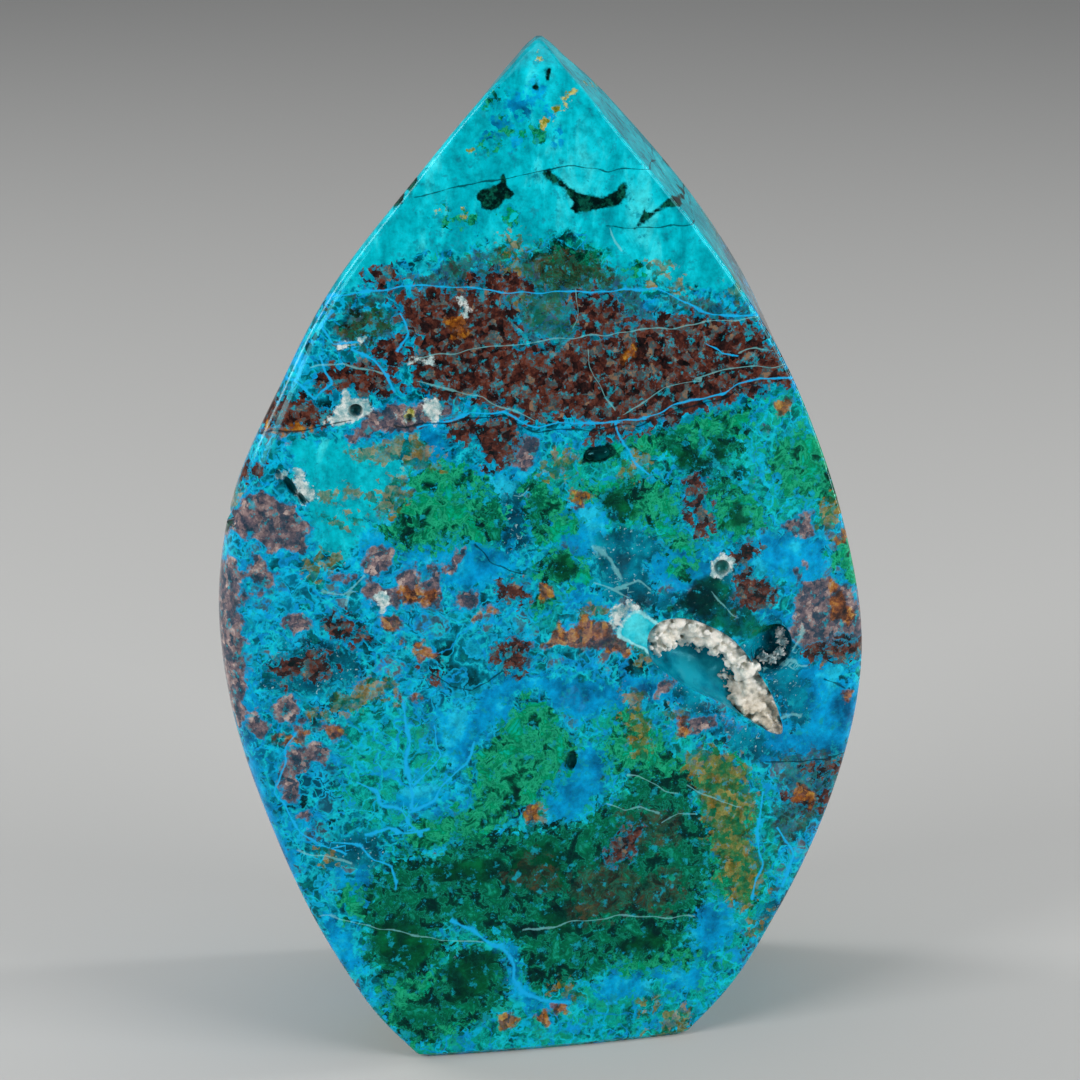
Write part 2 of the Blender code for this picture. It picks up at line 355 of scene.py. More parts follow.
@dataclass
class Hollows:
    """Everything that opens the polished face. Places are (x, z) on the front, in millimetres."""

    shape: StoneShape
    main_line: Outline = ((16.2, 65.8), (20.4, 62.8), (25.4, 59.4), (30.4, 54.6), (36.2, 47.2))
    main_half_width: float = 5.3 * MM
    main_depth: float = 4.8 * MM
    main_taper: float = 0.5
    # How far the main cutter stands out of the front, as a share of its depth.
    main_lift: float = 0.15
    rim_bump: float = 0.07
    rim_bump_size: float = 0.35
    turn_step: float = 0.01
    ball_faces: int = 4
    crust_gap: float = 0.45 * MM
    main_bed_voxel: float = 0.4 * MM
    side_bed_voxel: float = 0.3 * MM
    main_lumps: tuple[Lump, ...] = (
        (18.0, 66.1, 2.9, 2.1), (18.7, 63.3, 3.2, 1.9), (20.2, 66.0, 2.9, 2.2), (22.4, 64.9, 2.8, 2.4),
        (24.9, 63.6, 2.6, 2.2), (27.2, 61.7, 2.4, 1.9), (29.1, 59.6, 2.2, 1.6), (30.8, 57.2, 2.2, 1.8),
        (31.8, 54.4, 2.5, 2.1), (30.9, 51.9, 2.9, 2.3), (32.6, 50.3, 2.4, 1.8), (34.3, 48.5, 1.9, 1.3),
    )
    side_lumps: tuple[Lump, ...] = (
        (35.7, 62.7, 2.0, 1.0), (36.1, 61.2, 1.8, 1.0), (35.7, 59.7, 1.8, 1.1), (34.5, 58.7, 1.9, 1.1),
        (33.2, 59.0, 2.2, 1.1),
    )
    # Pits that meet are next to each other here, because every other pit shares a cutter.
    pits: tuple[Pit, ...] = (
        Pit(34.3, 60.9, 3.1, 3.9, 3.6, -12),  # the side hollow, lined with quartz
        Pit(8.2, 92.6, 2.0, 1.1, 1.6, 4),  # the dark pit under the red band
        Pit(26.6, 74.2, 1.2, 1.2, 1.1, 0),  # the pit in its white ring
        Pit(-26.2, 100.4, 1.1, 1.0, 1.2, 0),  # the pit in the white eye
        Pit(-18.6, 99.2, 0.6, 0.6, 0.8, 0),  # the speck beside it
        Pit(-37.2, 91.0, 0.6, 1.2, 1.0, 20),  # the slit at the left, in three parts
        Pit(-35.6, 89.6, 0.7, 1.9, 1.2, 32),
        Pit(-34.0, 87.8, 0.5, 1.1, 0.9, 30),
        Pit(4.6, 46.2, 0.8, 1.3, 1.1, -10),  # the low pit in the green
    )
    # The chip out of the left edge.
    chip_x: float = -45.6
    chip_z: float = 84.0
    chip_half_height: float = 1.1
    chip_depth: float = 1.6
    chip_stretch: float = 1.3
    chip_half_run: float = 5
    chip_behind: float = 4.5

    def lump_balls(self, lumps: tuple[Lump, ...], extra: float) -> Array:
        """Place the balls of a crust behind the front.

        Args:
            lumps: the balls.
            extra: added to each radius, in metres.

        Returns:
            Rows of (x, y, z, radius) in metres.
        """
        rows = []
        for x, z, depth, radius in lumps:
            y = float(self.shape.front_face(x * MM, z * MM)) + depth * MM
            rows.append((x * MM, y, z * MM, radius * MM + extra))
        return np.array(rows)

    def main_cutter(self) -> bpy.types.Object:
        """Make a bean along the main hollow's middle line, tapered to its lower end.

        Returns:
            The cutter.
        """
        line = np.array(self.main_line) * MM
        shares = np.linspace(0, 1, len(line))
        x_keys, z_keys = tuple(zip(shares, line[:, 0])), tuple(zip(shares, line[:, 1]))
        bm = bmesh.new()
        bmesh.ops.create_icosphere(bm, subdivisions=6, radius=1)
        unit = np.array([vert.co for vert in bm.verts])
        along = (unit[:, 0] + 1) / 2
        step = self.turn_step
        run_x = smooth_curve(x_keys, along + step) - smooth_curve(x_keys, along - step)
        run_z = smooth_curve(z_keys, along + step) - smooth_curve(z_keys, along - step)
        length = np.hypot(run_x, run_z)
        width = unit[:, 2] * self.main_half_width * (1 - self.main_taper * along**2)
        width *= 1 + self.rim_bump * StoneNoise(5).at(unit, self.rim_bump_size)
        x = smooth_curve(x_keys, along) - run_z / length * width
        z = smooth_curve(z_keys, along) + run_x / length * width
        y = self.shape.front_face(x, z) + (unit[:, 1] + self.main_lift) * self.main_depth
        for vert, place in zip(bm.verts, np.stack((x, y, z), 1)):
            vert.co = place
        bmesh.ops.recalc_face_normals(bm, faces=bm.faces)
        return object_from("main_hollow", bm)

    def unit_ball(self, bm: bmesh.types.BMesh) -> list[bmesh.types.BMVert]:
        """Add a ball of radius 1 to a mesh, for a pit's or the chip's form."""
        return bmesh.ops.create_icosphere(bm, subdivisions=self.ball_faces, radius=1)["verts"]

    def small_cutter(self, pits: tuple[Pit, ...], with_chip: bool) -> bpy.types.Object:
        """Some of the pits, as ellipsoids square to the front, in one cutter.

        Args:
            pits: pits that don't touch each other.
            with_chip: True to add the chip out of the left edge.

        Returns:
            The cutter.
        """
        bm = bmesh.new()
        for pit in pits:
            turn = math.radians(pit.tilt)
            for vert in self.unit_ball(bm):
                across, up = vert.co.x * pit.half_width, vert.co.z * pit.half_height
                x = (pit.x + across * math.cos(turn) - up * math.sin(turn)) * MM
                z = (pit.z + across * math.sin(turn) + up * math.cos(turn)) * MM
                y = float(self.shape.front_face(x, z)) + vert.co.y * pit.depth * MM
                vert.co = (x, y, z)
        if with_chip:
            self.add_chip(bm)
        return object_from("small_pits", bm)

    def add_chip(self, bm: bmesh.types.BMesh) -> None:
        """Add the form of the chip, a thin ball on the left edge.

        Args:
            bm: the cutter's mesh.
        """
        face = float(self.shape.front_face(self.chip_x * MM, self.chip_z * MM))
        middle = face + self.chip_behind * MM
        for vert in self.unit_ball(bm):
            across, back, up = vert.co
            vert.co = (
                (self.chip_x + across * self.chip_depth * self.chip_stretch) * MM,
                middle + back * self.chip_half_run * MM,
                (self.chip_z + up * self.chip_half_height) * MM,
            )

    def bed_cutters(self) -> list[bpy.types.Object]:
        """Make the beds that the two crusts sit in.

        Returns:
            The main hollow's and the side hollow's cutters.
        """
        main = self.lump_balls(self.main_lumps, self.crust_gap)
        side = self.lump_balls(self.side_lumps, self.crust_gap)
        return [
            skin_of_balls("main_bed", main, self.main_bed_voxel),
            skin_of_balls("side_bed", side, self.side_bed_voxel),
        ]

    def cut_into(self, stone: bpy.types.Object) -> None:
        """Cut every hollow into the stone, and settle the result.

        Args:
            stone: the blank.
        """
        small = [self.small_cutter(self.pits[::2], True), self.small_cutter(self.pits[1::2], False)]
        cutters = [self.main_cutter(), *small, *self.bed_cutters()]
        for cutter in cutters:
            modifier = stone.modifiers.new(f"Cut {cutter.name}", "BOOLEAN")
            modifier.operation = "DIFFERENCE"
            modifier.solver = "EXACT"
            modifier.object = cutter
        settle_modifiers(stone)
        for cutter in cutters:
            bpy.data.objects.remove(cutter)


# ---------------------------------------------------------------------------------------
# Pattern: where each mineral shows, as outlines on the front in millimetres


class Mineral(Enum):
    """The minerals and textures that the pattern places, each with the name of its attribute."""

    SILKY = "silky"  # calm, fibrous cyan chrysocolla
    AZURE = "azure"  # cloudy sky-blue chrysocolla
    SEA = "sea"  # dark teal chrysocolla in druse
    MALACHITE = "malachite"  # bright green copper carbonate
    FOREST = "forest"  # dark malachite with black tenorite
    CUPRITE = "cuprite"  # dark red copper oxide
    RUST = "rust"  # orange iron oxide
    OCHRE = "ochre"  # yellow limonite in green
    MAUVE = "mauve"  # pinkish-brown rock fragments
    BLACK = "black"  # tenorite
    WHITE = "white"  # white quartz
    GOLD = "gold"  # brassy grains
    UMBER = "umber"  # olive-brown iron oxide in green
    DEEP = "deep"  # smooth bottle-green pockets
    ICE = "ice"  # pale, see-through chalcedony
    GREEN = "green"  # regions whose ground is greener


def spot(x: float, z: float, radius: float) -> Outline:
    """A small round outline at (x, z)."""
    angles = (math.radians(45 * step) for step in range(8))
    return tuple((x + radius * math.cos(angle), z + radius * math.sin(angle)) for angle in angles)


PATCHES: dict[Mineral, tuple[Outline, ...]] = {
    Mineral.SILKY: (
        # The smooth tip.
        ((-30, 117), (-22, 121), (-14, 122.5), (-8, 123), (-1, 123.5), (4, 124.5), (9, 122), (11, 118),
         (14, 117), (22, 116), (30, 113.5), (34, 114), (34, 160), (-34, 160)),
        # The calm patch at the left.
        ((-36, 95), (-30, 96.5), (-24, 95.5), (-19.6, 92.5), (-20.6, 88), (-23, 85), (-25, 82), (-28, 79),
         (-31, 80), (-33, 85), (-33.4, 91)),
    ),
    Mineral.AZURE: (
        spot(-3, 142, 1.5), spot(-5.4, 140, 1.0), spot(-1, 144.4, 1.0), spot(1, 141, 0.8),
        spot(-7, 138.2, 0.8), spot(3, 137.6, 0.6), spot(-3.6, 137.4, 0.9),
        ((-27, 78.5), (-24, 83.5), (-21.5, 84.5), (-20, 80.5), (-14, 80.3), (-8, 80.8), (-4, 79),
         (-4, 76), (-9, 74), (-13.5, 74), (-15, 77), (-19, 78.8), (-23, 79)),
        ((-16.5, 98), (-14, 97.5), (-13, 93), (-8, 91), (-4, 91), (-1, 92.6), (1, 90.5), (-2, 88),
         (-1.8, 80), (-6, 79.5), (-5.2, 86), (-9, 89.5), (-14, 91), (-16, 93)),
        ((1.5, 84.8), (4, 86), (8, 85.2), (10.2, 82), (9, 79), (5, 78), (2, 79.5)),
        ((16, 76.5), (19, 78), (24, 77.5), (25, 74), (24, 71), (20, 71), (17, 72.5)),
        ((30, 76), (33, 79), (39, 78), (42, 77), (43, 72), (38.5, 70.5), (35, 71.5), (32, 73)),
        ((4.5, 74.2), (6.8, 74.2), (7.8, 71.8), (10, 71), (9, 69.4), (5, 70.8)),
        ((34, 57), (37, 59.8), (41, 58.2), (45, 56.5), (48, 53), (48, 47), (46, 42.6), (39, 42.4),
         (34, 43.2), (31, 45.6), (32.5, 48), (36, 49.5), (35.5, 53)),
        ((-3, 60.6), (2, 60.2), (7, 58.4), (12, 57), (12, 54), (8, 53.4), (5, 52), (2.5, 55), (0, 57.6),
         (-3, 56.8), (-5, 54), (-9, 50.5), (-10.5, 53), (-9, 57), (-6.5, 59.8)),
        ((2.6, 45), (6, 48.8), (10, 48), (10.4, 44), (8, 40), (5.5, 36.6), (1, 36.4), (0, 38.5), (1.5, 41)),
        ((-15, 55), (-12, 56.5), (-9.6, 53), (-10, 48), (-13, 47), (-15, 50)),
        ((-20, 44), (-16, 45), (-13, 42), (-17, 40), (-22, 40.6)),
        ((22, 20), (25, 21.6), (29.6, 20.2), (29, 15), (25, 12.4), (21, 12.6), (22, 16)),
        ((8, 9.4), (12, 11.6), (17, 11), (16, 8), (10, 7)),
        ((18, 11), (22, 12), (25.5, 10.4), (24, 8), (19, 8.4)),
        ((-44, 49), (-41, 49), (-39, 40), (-36, 33), (-38, 31), (-42, 40)),
        ((-32, 24), (-29, 22), (-26, 15), (-30, 16)),
        ((-29.5, 30), (-25, 31.4), (-22.8, 28), (-24.3, 25), (-28.6, 27.4)),
        ((12, 58), (17, 58.5), (19.5, 56.6), (22, 54.4), (20, 53), (15.5, 55)),
        ((32.5, 68), (35, 67.5), (36.5, 64.8), (34, 64)),
        ((-4.6, 18.6), (-3.4, 18), (-2.6, 12), (0, 9), (4.5, 8.2), (3, 6.4), (-2, 7.2), (-4.9, 11)),
        ((35, 88), (38.5, 88.6), (38.5, 86), (35.5, 85.6)),
        ((-45, 60), (-42, 62), (-40.5, 52), (-43, 50)),
    ),
    Mineral.SEA: (
        # Dark teal, sparkling with druse, round the main hollow.
        ((7.5, 80.6), (12, 81.6), (17, 80), (19, 77.5), (15.6, 75.4), (16.8, 71.6), (21, 70.4), (27, 74.6),
         (28.6, 73), (29, 71), (24, 66), (18.6, 68.6), (15, 69.6), (12, 70.4), (9.6, 71), (8.2, 75)),
        ((29, 60), (31.6, 64), (34, 65.6), (37.2, 64.5), (38.6, 60), (37.5, 57), (33, 56.5), (30.6, 57.6)),
        ((-6.2, 79.6), (-5.4, 86), (-4, 90), (-1.8, 89), (-1.2, 80)),
        ((28, 45.8), (31, 47.8), (34, 46), (33, 43.8), (29.6, 43.6)),
        ((15.6, 62.4), (18, 60), (22, 55.4), (28, 50.4), (34, 46.4), (36, 43.6), (32, 44.6), (26, 49),
         (20.6, 54), (17, 58.6)),
        ((33, 58), (36.6, 59), (40, 56), (40.6, 51), (38.6, 47), (36.8, 49), (35.4, 53)),
        ((-31, 36.5), (-24, 37.4), (-23, 31.8), (-31, 31.4)),
        ((-40, 61), (-38, 65), (-32, 66.6), (-27, 65.4), (-26, 61.6), (-31, 58.6), (-38, 58.4)),
        ((33, 17), (35, 20.2), (37, 20), (34.6, 15.8)),
        ((-10, 12.5), (-9, 17), (-6, 17), (-5.2, 11), (-7.5, 8)),
    ),
    Mineral.MALACHITE: (
        ((-24, 12), (-19, 16.4), (-14, 20), (-13, 18.6), (-18, 13.6), (-22.6, 10)),
        ((2, 15.6), (8, 17.6), (13, 16), (8, 13.4)),
        ((-22, 27), (-18, 29.6), (-16, 26.4), (-20, 24.6)),
        spot(-5, 138.8, 1.1), spot(-7.6, 137.6, 0.7), spot(-0.6, 138.2, 1.0), spot(-6.4, 142.6, 0.7),
        spot(-13.6, 127, 1.0), spot(-10, 126.6, 0.7), spot(-4.6, 127.2, 0.7), spot(14, 118.6, 0.8),
        ((-22.6, 82.4), (-20, 86.6), (-17, 88.6), (-13, 88.6), (-8, 87.4), (-5.4, 85), (-6, 80.4),
         (-10, 81.2), (-14, 80.4), (-19, 80.4)),
        ((-18.5, 90.4), (-15, 92.4), (-11, 92.2), (-7.6, 90), (-8, 88), (-12, 88.6), (-18, 88.4)),
        ((-2.2, 88.6), (0, 90.2), (2, 88), (3.6, 86), (1.4, 84), (2, 81), (0, 79.4), (-1.6, 82)),
        ((4, 86.2), (8, 86), (12, 83), (16, 81.2), (20, 82.4), (20.6, 86), (17.6, 88.8), (14, 89.2),
         (10, 88), (6, 87.8)),
        ((17.6, 79.4), (21, 80.4), (24.4, 78.2), (22, 76.6), (19, 77)),
        ((24.4, 87), (29, 86.4), (32.4, 83), (33, 79.8), (30, 78.2), (27, 78.6), (24.6, 82)),
        ((34.6, 92.4), (38, 94), (42, 92), (44.4, 88), (47, 82), (43, 81.6), (39.6, 83.6), (35.6, 85),
         (33.6, 88.5)),
        ((9, 94.6), (12, 95.6), (17, 96), (23, 97.4), (30, 98.6), (30, 94), (22, 92.6), (16, 92.2),
         (11, 91.6)),
        ((18.8, 74.6), (20, 76.4), (22.4, 76.2), (23.4, 74.4), (22, 72.8), (19.8, 73)),
        ((-0.6, 75.6), (1, 78), (4, 78.4), (6, 76.4), (7.6, 75), (5.4, 73.6), (1.6, 73.8)),
        ((-2, 70.4), (0, 72.6), (1.8, 70.8), (0.2, 68.8)),
        ((1.4, 82.4), (3, 84.6), (5.4, 84.2), (5.8, 82), (4, 80.4), (2, 80.8)),
        ((-9.6, 43), (-9.8, 48), (-6.4, 51.6), (-4.2, 54.8), (-1.6, 56.8), (1, 55.8), (3.6, 52), (6, 49),
         (4.2, 45.5), (2.6, 43.4), (0.6, 41), (-2, 39), (-5, 37.2), (-9.6, 36), (-10.6, 40)),
        ((-19, 38.5), (-14, 39.4), (-10, 40.4), (-6, 38.4), (-7, 34.4), (-13, 34.4), (-19.6, 33.4),
         (-20.4, 36)),
        ((-29.4, 27.2), (-27, 28.4), (-25, 26.2), (-25.6, 23.2), (-28.8, 23.6)),
        ((12, 54), (17, 52), (19, 47), (22, 43), (20.5, 41), (16, 43), (11, 43.6), (9.6, 47), (11, 51)),
        ((22, 44), (26, 46), (30, 44), (31.6, 37), (31.4, 31), (33.6, 24), (32, 19.6), (26, 23),
         (24.6, 33)),
        ((24.6, 14), (23, 12), (15, 11.6), (9.4, 13), (12, 15), (20, 16)),
        ((-22, 13), (-15, 14.6), (-9, 6.6), (-14, 3.4), (-19.4, 2.6), (-23, 7.6)),
        ((43, 74), (45, 78), (47.4, 76), (48.6, 68), (46.6, 67), (44.6, 71)),
    ),
    Mineral.FOREST: (
        ((12, 42), (15, 44), (22, 42.4), (24, 39), (20, 38), (14, 39)),
        ((-25, 30), (-20, 33.4), (-16, 31.8), (-10, 35.2), (-4, 36.4), (0, 36.2), (6, 36.4), (10, 38.8),
         (14, 41.8), (19, 41.2), (23, 38.4), (25.6, 33), (25.4, 27), (23.6, 20), (21.6, 15.6), (17, 13.4),
         (11.4, 14.8), (9, 11.8), (4, 10.4), (-1, 10), (-2.6, 12), (-2.8, 16), (-4, 18.8), (-8, 19.6),
         (-12.6, 22), (-16, 20.4), (-13.6, 18.6), (-5.6, 16.4), (-4.9, 12), (-5.6, 7.8), (-9, 5.6),
         (-14, 4.4), (-19.4, 3), (-22.4, 8), (-18.8, 10), (-15, 13), (-13, 17.6), (-19, 12.6), (-23, 12.4),
         (-25.4, 16), (-26, 23)),
        ((0, 75.6), (1.6, 77.6), (4, 77.6), (5.6, 75.8), (4, 74.2), (1.4, 74.4)),
        ((7.6, 87), (10, 87.4), (14, 88.6), (16.6, 86.4), (13, 84.4), (10, 85)),
        ((-21.8, 82.6), (-19.8, 84.8), (-17, 84), (-16.6, 81.4), (-19.4, 80.8)),
        ((-9.6, 86.6), (-6.4, 86.4), (-5.6, 81), (-7.4, 81), (-9.4, 84)),
        ((16.8, 94.6), (20, 95.4), (23, 93), (24, 89.6), (21, 90), (18, 92)),
        ((24.6, 94), (29, 94.4), (30, 91.6), (27, 90.4), (24.6, 91.4)),
        ((24.8, 87.6), (28.4, 88), (28, 84.8), (25, 85.6)),
        ((-1, 120.6), (2, 123.4), (5.4, 122.6), (9, 120.4), (9.8, 117.6), (6, 116.8), (0, 117.6)),
        ((-28, 113.4), (-23.6, 114.6), (-20.4, 112.6), (-23, 110.4), (-27, 110.4)),
        ((-2, 88.4), (0, 89.8), (1.6, 87), (0.4, 84), (0, 80.4), (-1.4, 82)),
        ((42, 91.6), (44, 91.4), (46.6, 84), (46.8, 80), (44, 81), (42.6, 86)),
    ),
    Mineral.CUPRITE: (
        ((-12, 118), (-8, 119.4), (-2, 118.6), (0, 116.6), (-6, 116)),
        ((4, 115.6), (9, 116.4), (11.6, 113), (11, 109), (6, 109)),
        ((-21, 116.4), (-14, 117.2), (-8, 116.6), (-3.4, 114.6), (-2.4, 110), (-3.4, 107), (-5, 102),
         (-10, 101.2), (-15, 101.6), (-18, 104.4), (-19, 107), (-17, 110), (-19.6, 113)),
        ((-8, 108.4), (-2, 108.8), (3, 108.6), (9, 109.6), (13, 111.6), (20, 112.4), (27, 110.6),
         (31.6, 109.6), (36, 103.6), (37.4, 101.2), (30.4, 99.6), (24, 98.4), (17.4, 96.4), (10, 94.4),
         (6.6, 95.2), (9, 97), (3, 98.4), (-2, 98), (-5, 99.6), (-9, 101.6), (-12, 105)),
        ((-31, 106.4), (-25.6, 107.6), (-21, 106.4), (-19, 103), (-22, 102.2), (-27, 103.4), (-31.4, 104)),
        ((-25, 119.4), (-20.6, 120.4), (-18.8, 118.4), (-22.6, 117.6)),
        ((-23.6, 108.4), (-21.4, 111), (-18.6, 109.6), (-20.6, 107)),
        ((-39, 101.8), (-33.6, 102.4), (-29.4, 100.4), (-30.6, 98.6), (-36, 98.2), (-39.6, 98.8)),
        ((-13.4, 98.6), (-4, 98.6), (-3.2, 95), (-5.2, 91.4), (-7.6, 91.8), (-9.4, 95.4), (-13.4, 95.8)),
        ((-42, 93), (-39.4, 92.4), (-40, 90.8), (-42.4, 91)),
        ((-6.8, 64.4), (-4, 65.4), (-1.8, 64), (-1.4, 62.6), (-2.8, 60.6), (-6, 61), (-6.6, 63)),
        ((39.4, 60.2), (44, 60.6), (49, 61), (49, 58.6), (44, 57.4), (40.2, 58.4)),
        ((36.6, 37), (42, 37), (47, 36.4), (45, 34.6), (40, 34.6)),
        ((28.4, 71.8), (30.4, 73.8), (33, 72), (34.8, 69.6), (33, 67), (29, 67.6)),
        ((21, 88), (23.4, 88), (25, 82), (24.4, 79), (22.4, 79.4), (21.6, 83.6)),
        ((-17, 62.2), (-15, 61.6), (-13.6, 59.4), (-15.6, 59.8)),
        ((27.6, 75.2), (30, 77.8), (32, 77), (31, 75), (28.4, 74.4)),
        ((-5.6, 74.2), (-3, 74.4), (-2, 72.6), (-2.8, 70.8), (-5, 71)),
        ((-39, 62.4), (-36, 64.4), (-31, 64.6), (-29.6, 62.6), (-33, 60.4), (-37, 60.4)),
        ((-31, 70), (-28.4, 70.8), (-26, 68.2), (-24, 66.4), (-28, 66.2), (-30.8, 68)),
        ((9, 30.4), (12, 34.4), (15, 35), (14.6, 31.6), (11, 29)),
        ((39, 42), (44.6, 42.4), (45.6, 39.4), (41, 39.8)),
    ),
    Mineral.RUST: (
        ((1, 64.6), (3.4, 67.6), (7, 68.6), (10.4, 66.8), (13.4, 64.4), (12.6, 62.2), (9, 62.6),
         (5.4, 63.4)),
        ((-38.6, 98), (-34, 98.8), (-32, 97.6), (-36.4, 96.4)),
        ((4, 88.4), (6, 88), (8, 86.6), (6.4, 85.6), (4.4, 86.4)),
        ((43, 70.4), (44, 70), (46, 66.4), (47.4, 63.4), (45, 63.4), (43.4, 66)),
        ((-20, 74.6), (-17.6, 74.4), (-15.2, 72.6), (-17, 71.8), (-19.4, 72.6)),
        ((-22.6, 69.6), (-20.4, 70.2), (-18.8, 68.8), (-20, 67), (-22.2, 67.6)),
        ((-37, 51.2), (-34.4, 53.4), (-32.4, 52.8), (-34.4, 50.8)),
        ((-39.6, 52.4), (-37.8, 52.8), (-37.8, 51.2), (-39.4, 51)),
        ((-30.6, 53.8), (-28.4, 54.2), (-28.6, 52.4), (-30.4, 52.4)),
        ((-20.6, 57.9), (-18.2, 58), (-18.2, 57), (-20.4, 57)),
        ((39.6, 39), (42, 36), (40.4, 34.6), (38.6, 37)),
        ((-6.2, 5.8), (-3.6, 6.4), (-2.6, 4.8), (-5.4, 4)),
        ((-1.2, 5.8), (0.8, 6.2), (1, 4.9), (-0.8, 4.6)),
        ((2.4, 7.6), (4.4, 7.4), (4.2, 6), (2.6, 6.2)),
        ((-2, 38.8), (0, 39.2), (0.2, 37.6), (-1.6, 37.6)),
        ((0, 73.6), (1.8, 73.4), (1.8, 72), (0.2, 72)),
        ((-10, 68.6), (-6.6, 71.2), (-5, 70.2), (-4.6, 69), (-8, 69.6)),
        ((43.4, 77.6), (45, 77.8), (45.2, 75.8), (43.6, 75.6)),
        ((20.4, 52), (22, 52.2), (22.6, 49.2), (21, 48.8)),
        ((11.4, 107.6), (13.4, 108), (13.6, 105.6), (11.6, 105.8)),
        ((45.6, 52.8), (47.4, 53), (47.4, 51.4), (45.8, 51.2)),
        ((-18.6, 66), (-16.6, 66), (-15.4, 63.4), (-17.4, 62.8)),
        ((34.6, 97.6), (36.4, 97.6), (36.4, 96.2), (34.8, 96)),
        ((-13.6, 112.6), (-11.4, 112.8), (-9.6, 110.8), (-12.4, 110.4)),
    ),
    Mineral.OCHRE: (
        ((-22, 94.8), (-18.6, 95.8), (-16.4, 94.4), (-19, 93.4)),
        ((-27, 94.6), (-22, 96.2), (-18, 96.4), (-15.4, 94), (-14.6, 91.6), (-17, 91.8), (-21, 93),
         (-25, 93)),
        ((-24.2, 86.8), (-22, 90.6), (-19.6, 91), (-18.8, 88), (-21, 85.4), (-23.6, 85.4)),
        ((-33, 88.2), (-27, 89.4), (-23.4, 88.4), (-27.4, 87.8)),
        ((-31, 84.4), (-27, 85.2), (-25, 84.6), (-28, 83.8)),
        ((-46, 88), (-44, 91.4), (-42, 88.6), (-41.6, 86.6), (-45, 85.8)),
        ((0, 90.4), (2, 93.2), (4.6, 93.4), (5.2, 91.5), (3, 89.8), (1, 89.6)),
        ((11.6, 90), (14, 93), (16.4, 91.8), (15.6, 89.6), (13, 88.6)),
        ((21.4, 45), (25, 47), (29, 45.4), (31, 42), (32, 37), (31.4, 32), (33.6, 27), (34, 22), (31, 20),
         (28, 23), (26.4, 28), (25.6, 33), (24.4, 38), (22.4, 42)),
        ((12, 56.4), (15.4, 55.4), (16.6, 50), (15.6, 45), (13.6, 47), (13, 51)),
        ((-5, 124.6), (-3, 124.6), (-2.4, 117), (-2.6, 110.6), (-4.6, 110.6), (-4.4, 117)),
        ((19.2, 116.8), (20.8, 116.6), (20.8, 115), (19.2, 115)),
        ((16, 119), (18.6, 118.6), (18.4, 117), (16.4, 117)),
        ((27.2, 116), (28.8, 115.6), (28.6, 114.4), (27.2, 114.8)),
        ((-34, 54.6), (-28, 58.8), (-24, 60.8), (-20.8, 60.6), (-21, 59), (-26, 57), (-31, 54.4)),
        ((31, 15.4), (33.6, 19), (35, 18.4), (34, 16)),
        ((16.6, 0.2), (18.6, 3.8), (21.8, 4.4), (22.4, 1), (19, -0.4)),
        ((5, 9.2), (6.4, 9), (6.4, 7.4), (5, 7.6)),
        ((1, 11), (4, 11.2), (3.8, 10), (1.2, 10)),
        ((15.4, 6.4), (17.4, 6.2), (17.4, 4.6), (15.6, 4.8)),
        ((18, 52), (20.4, 53.4), (22.4, 52.4), (21, 51.2)),
        ((8, 70.4), (9.4, 69), (6.4, 67.6), (5, 69.4)),
        ((14.4, 63.4), (17, 63), (16.6, 60.8), (14.4, 61)),
        ((-32, 33.8), (-30.6, 34), (-30.6, 32.2), (-31.8, 32.2)),
        ((-0.6, 38.8), (0.6, 38), (-0.4, 37.2), (-1.6, 38)),
        ((41, 82), (43.4, 83.4), (44.8, 80), (43, 78), (41, 79.4)),
        ((-34, 77), (-31.4, 79.6), (-28.6, 79.4), (-29.6, 77.6), (-32, 76)),
    ),
    Mineral.MAUVE: (
        ((-4.4, 92.4), (-3.6, 95.4), (-1.4, 95.8), (-0.2, 94), (-1.8, 91.8), (-3.4, 91.4)),
        ((-27, 98), (-22, 101), (-16, 101.6), (-12.4, 100.4), (-12, 99), (-17, 97.6), (-22, 96.8),
         (-26.6, 96.4)),
        ((-12.4, 109), (-8, 109.8), (-5.4, 107), (-6.8, 104.8), (-10, 104.2), (-12.4, 106)),
        ((-46, 83.4), (-42, 88), (-38, 88.6), (-35.6, 86), (-32.4, 83), (-34, 80.4), (-38, 80), (-42, 82)),
        ((-41.4, 80), (-38.6, 78.4), (-37.8, 75.4), (-40, 73), (-41.6, 76)),
        ((-49, 80), (-43.6, 79), (-42.4, 72), (-43, 66), (-42.6, 59), (-44, 53.6), (-48, 56)),
        ((38.8, 70.6), (43, 71.4), (48, 66.4), (49.4, 60), (44, 58.8), (39.6, 59.4), (37.8, 63),
         (37.2, 67)),
        ((-30.6, 76.8), (-28.4, 76.8), (-27.2, 75), (-29, 74.6)),
        ((-27, 75.6), (-24.6, 79.6), (-21.8, 79.8), (-21, 78), (-24, 76)),
        ((-24.8, 74.2), (-21.4, 74.2), (-20.2, 72), (-22, 70.8), (-24.8, 71.8)),
        ((-20.2, 76), (-18.4, 77.8), (-16.8, 75.2), (-15.4, 77.4), (-14.2, 76.6), (-14.6, 73),
         (-15.4, 70.8), (-18, 71.6), (-19.8, 73.4)),
        ((-39.4, 57), (-36, 58.4), (-34.2, 55.4), (-37.6, 54.2)),
        ((-37.6, 70), (-35, 70.8), (-33.6, 69), (-35.4, 67.8)),
        ((-43, 53.6), (-40.6, 57), (-39.4, 53), (-41, 51.6)),
        ((-36.6, 49.6), (-30, 51), (-30.8, 47.6), (-35.4, 47)),
        ((-38, 47), (-36, 48), (-34.6, 41), (-37, 41.6)),
        ((-36, 40.6), (-33, 41.6), (-33.4, 38.8), (-35.6, 38.8)),
        ((-7, 64.6), (-4, 65.8), (-1.6, 64.2), (-2, 62), (-4.6, 62.8)),
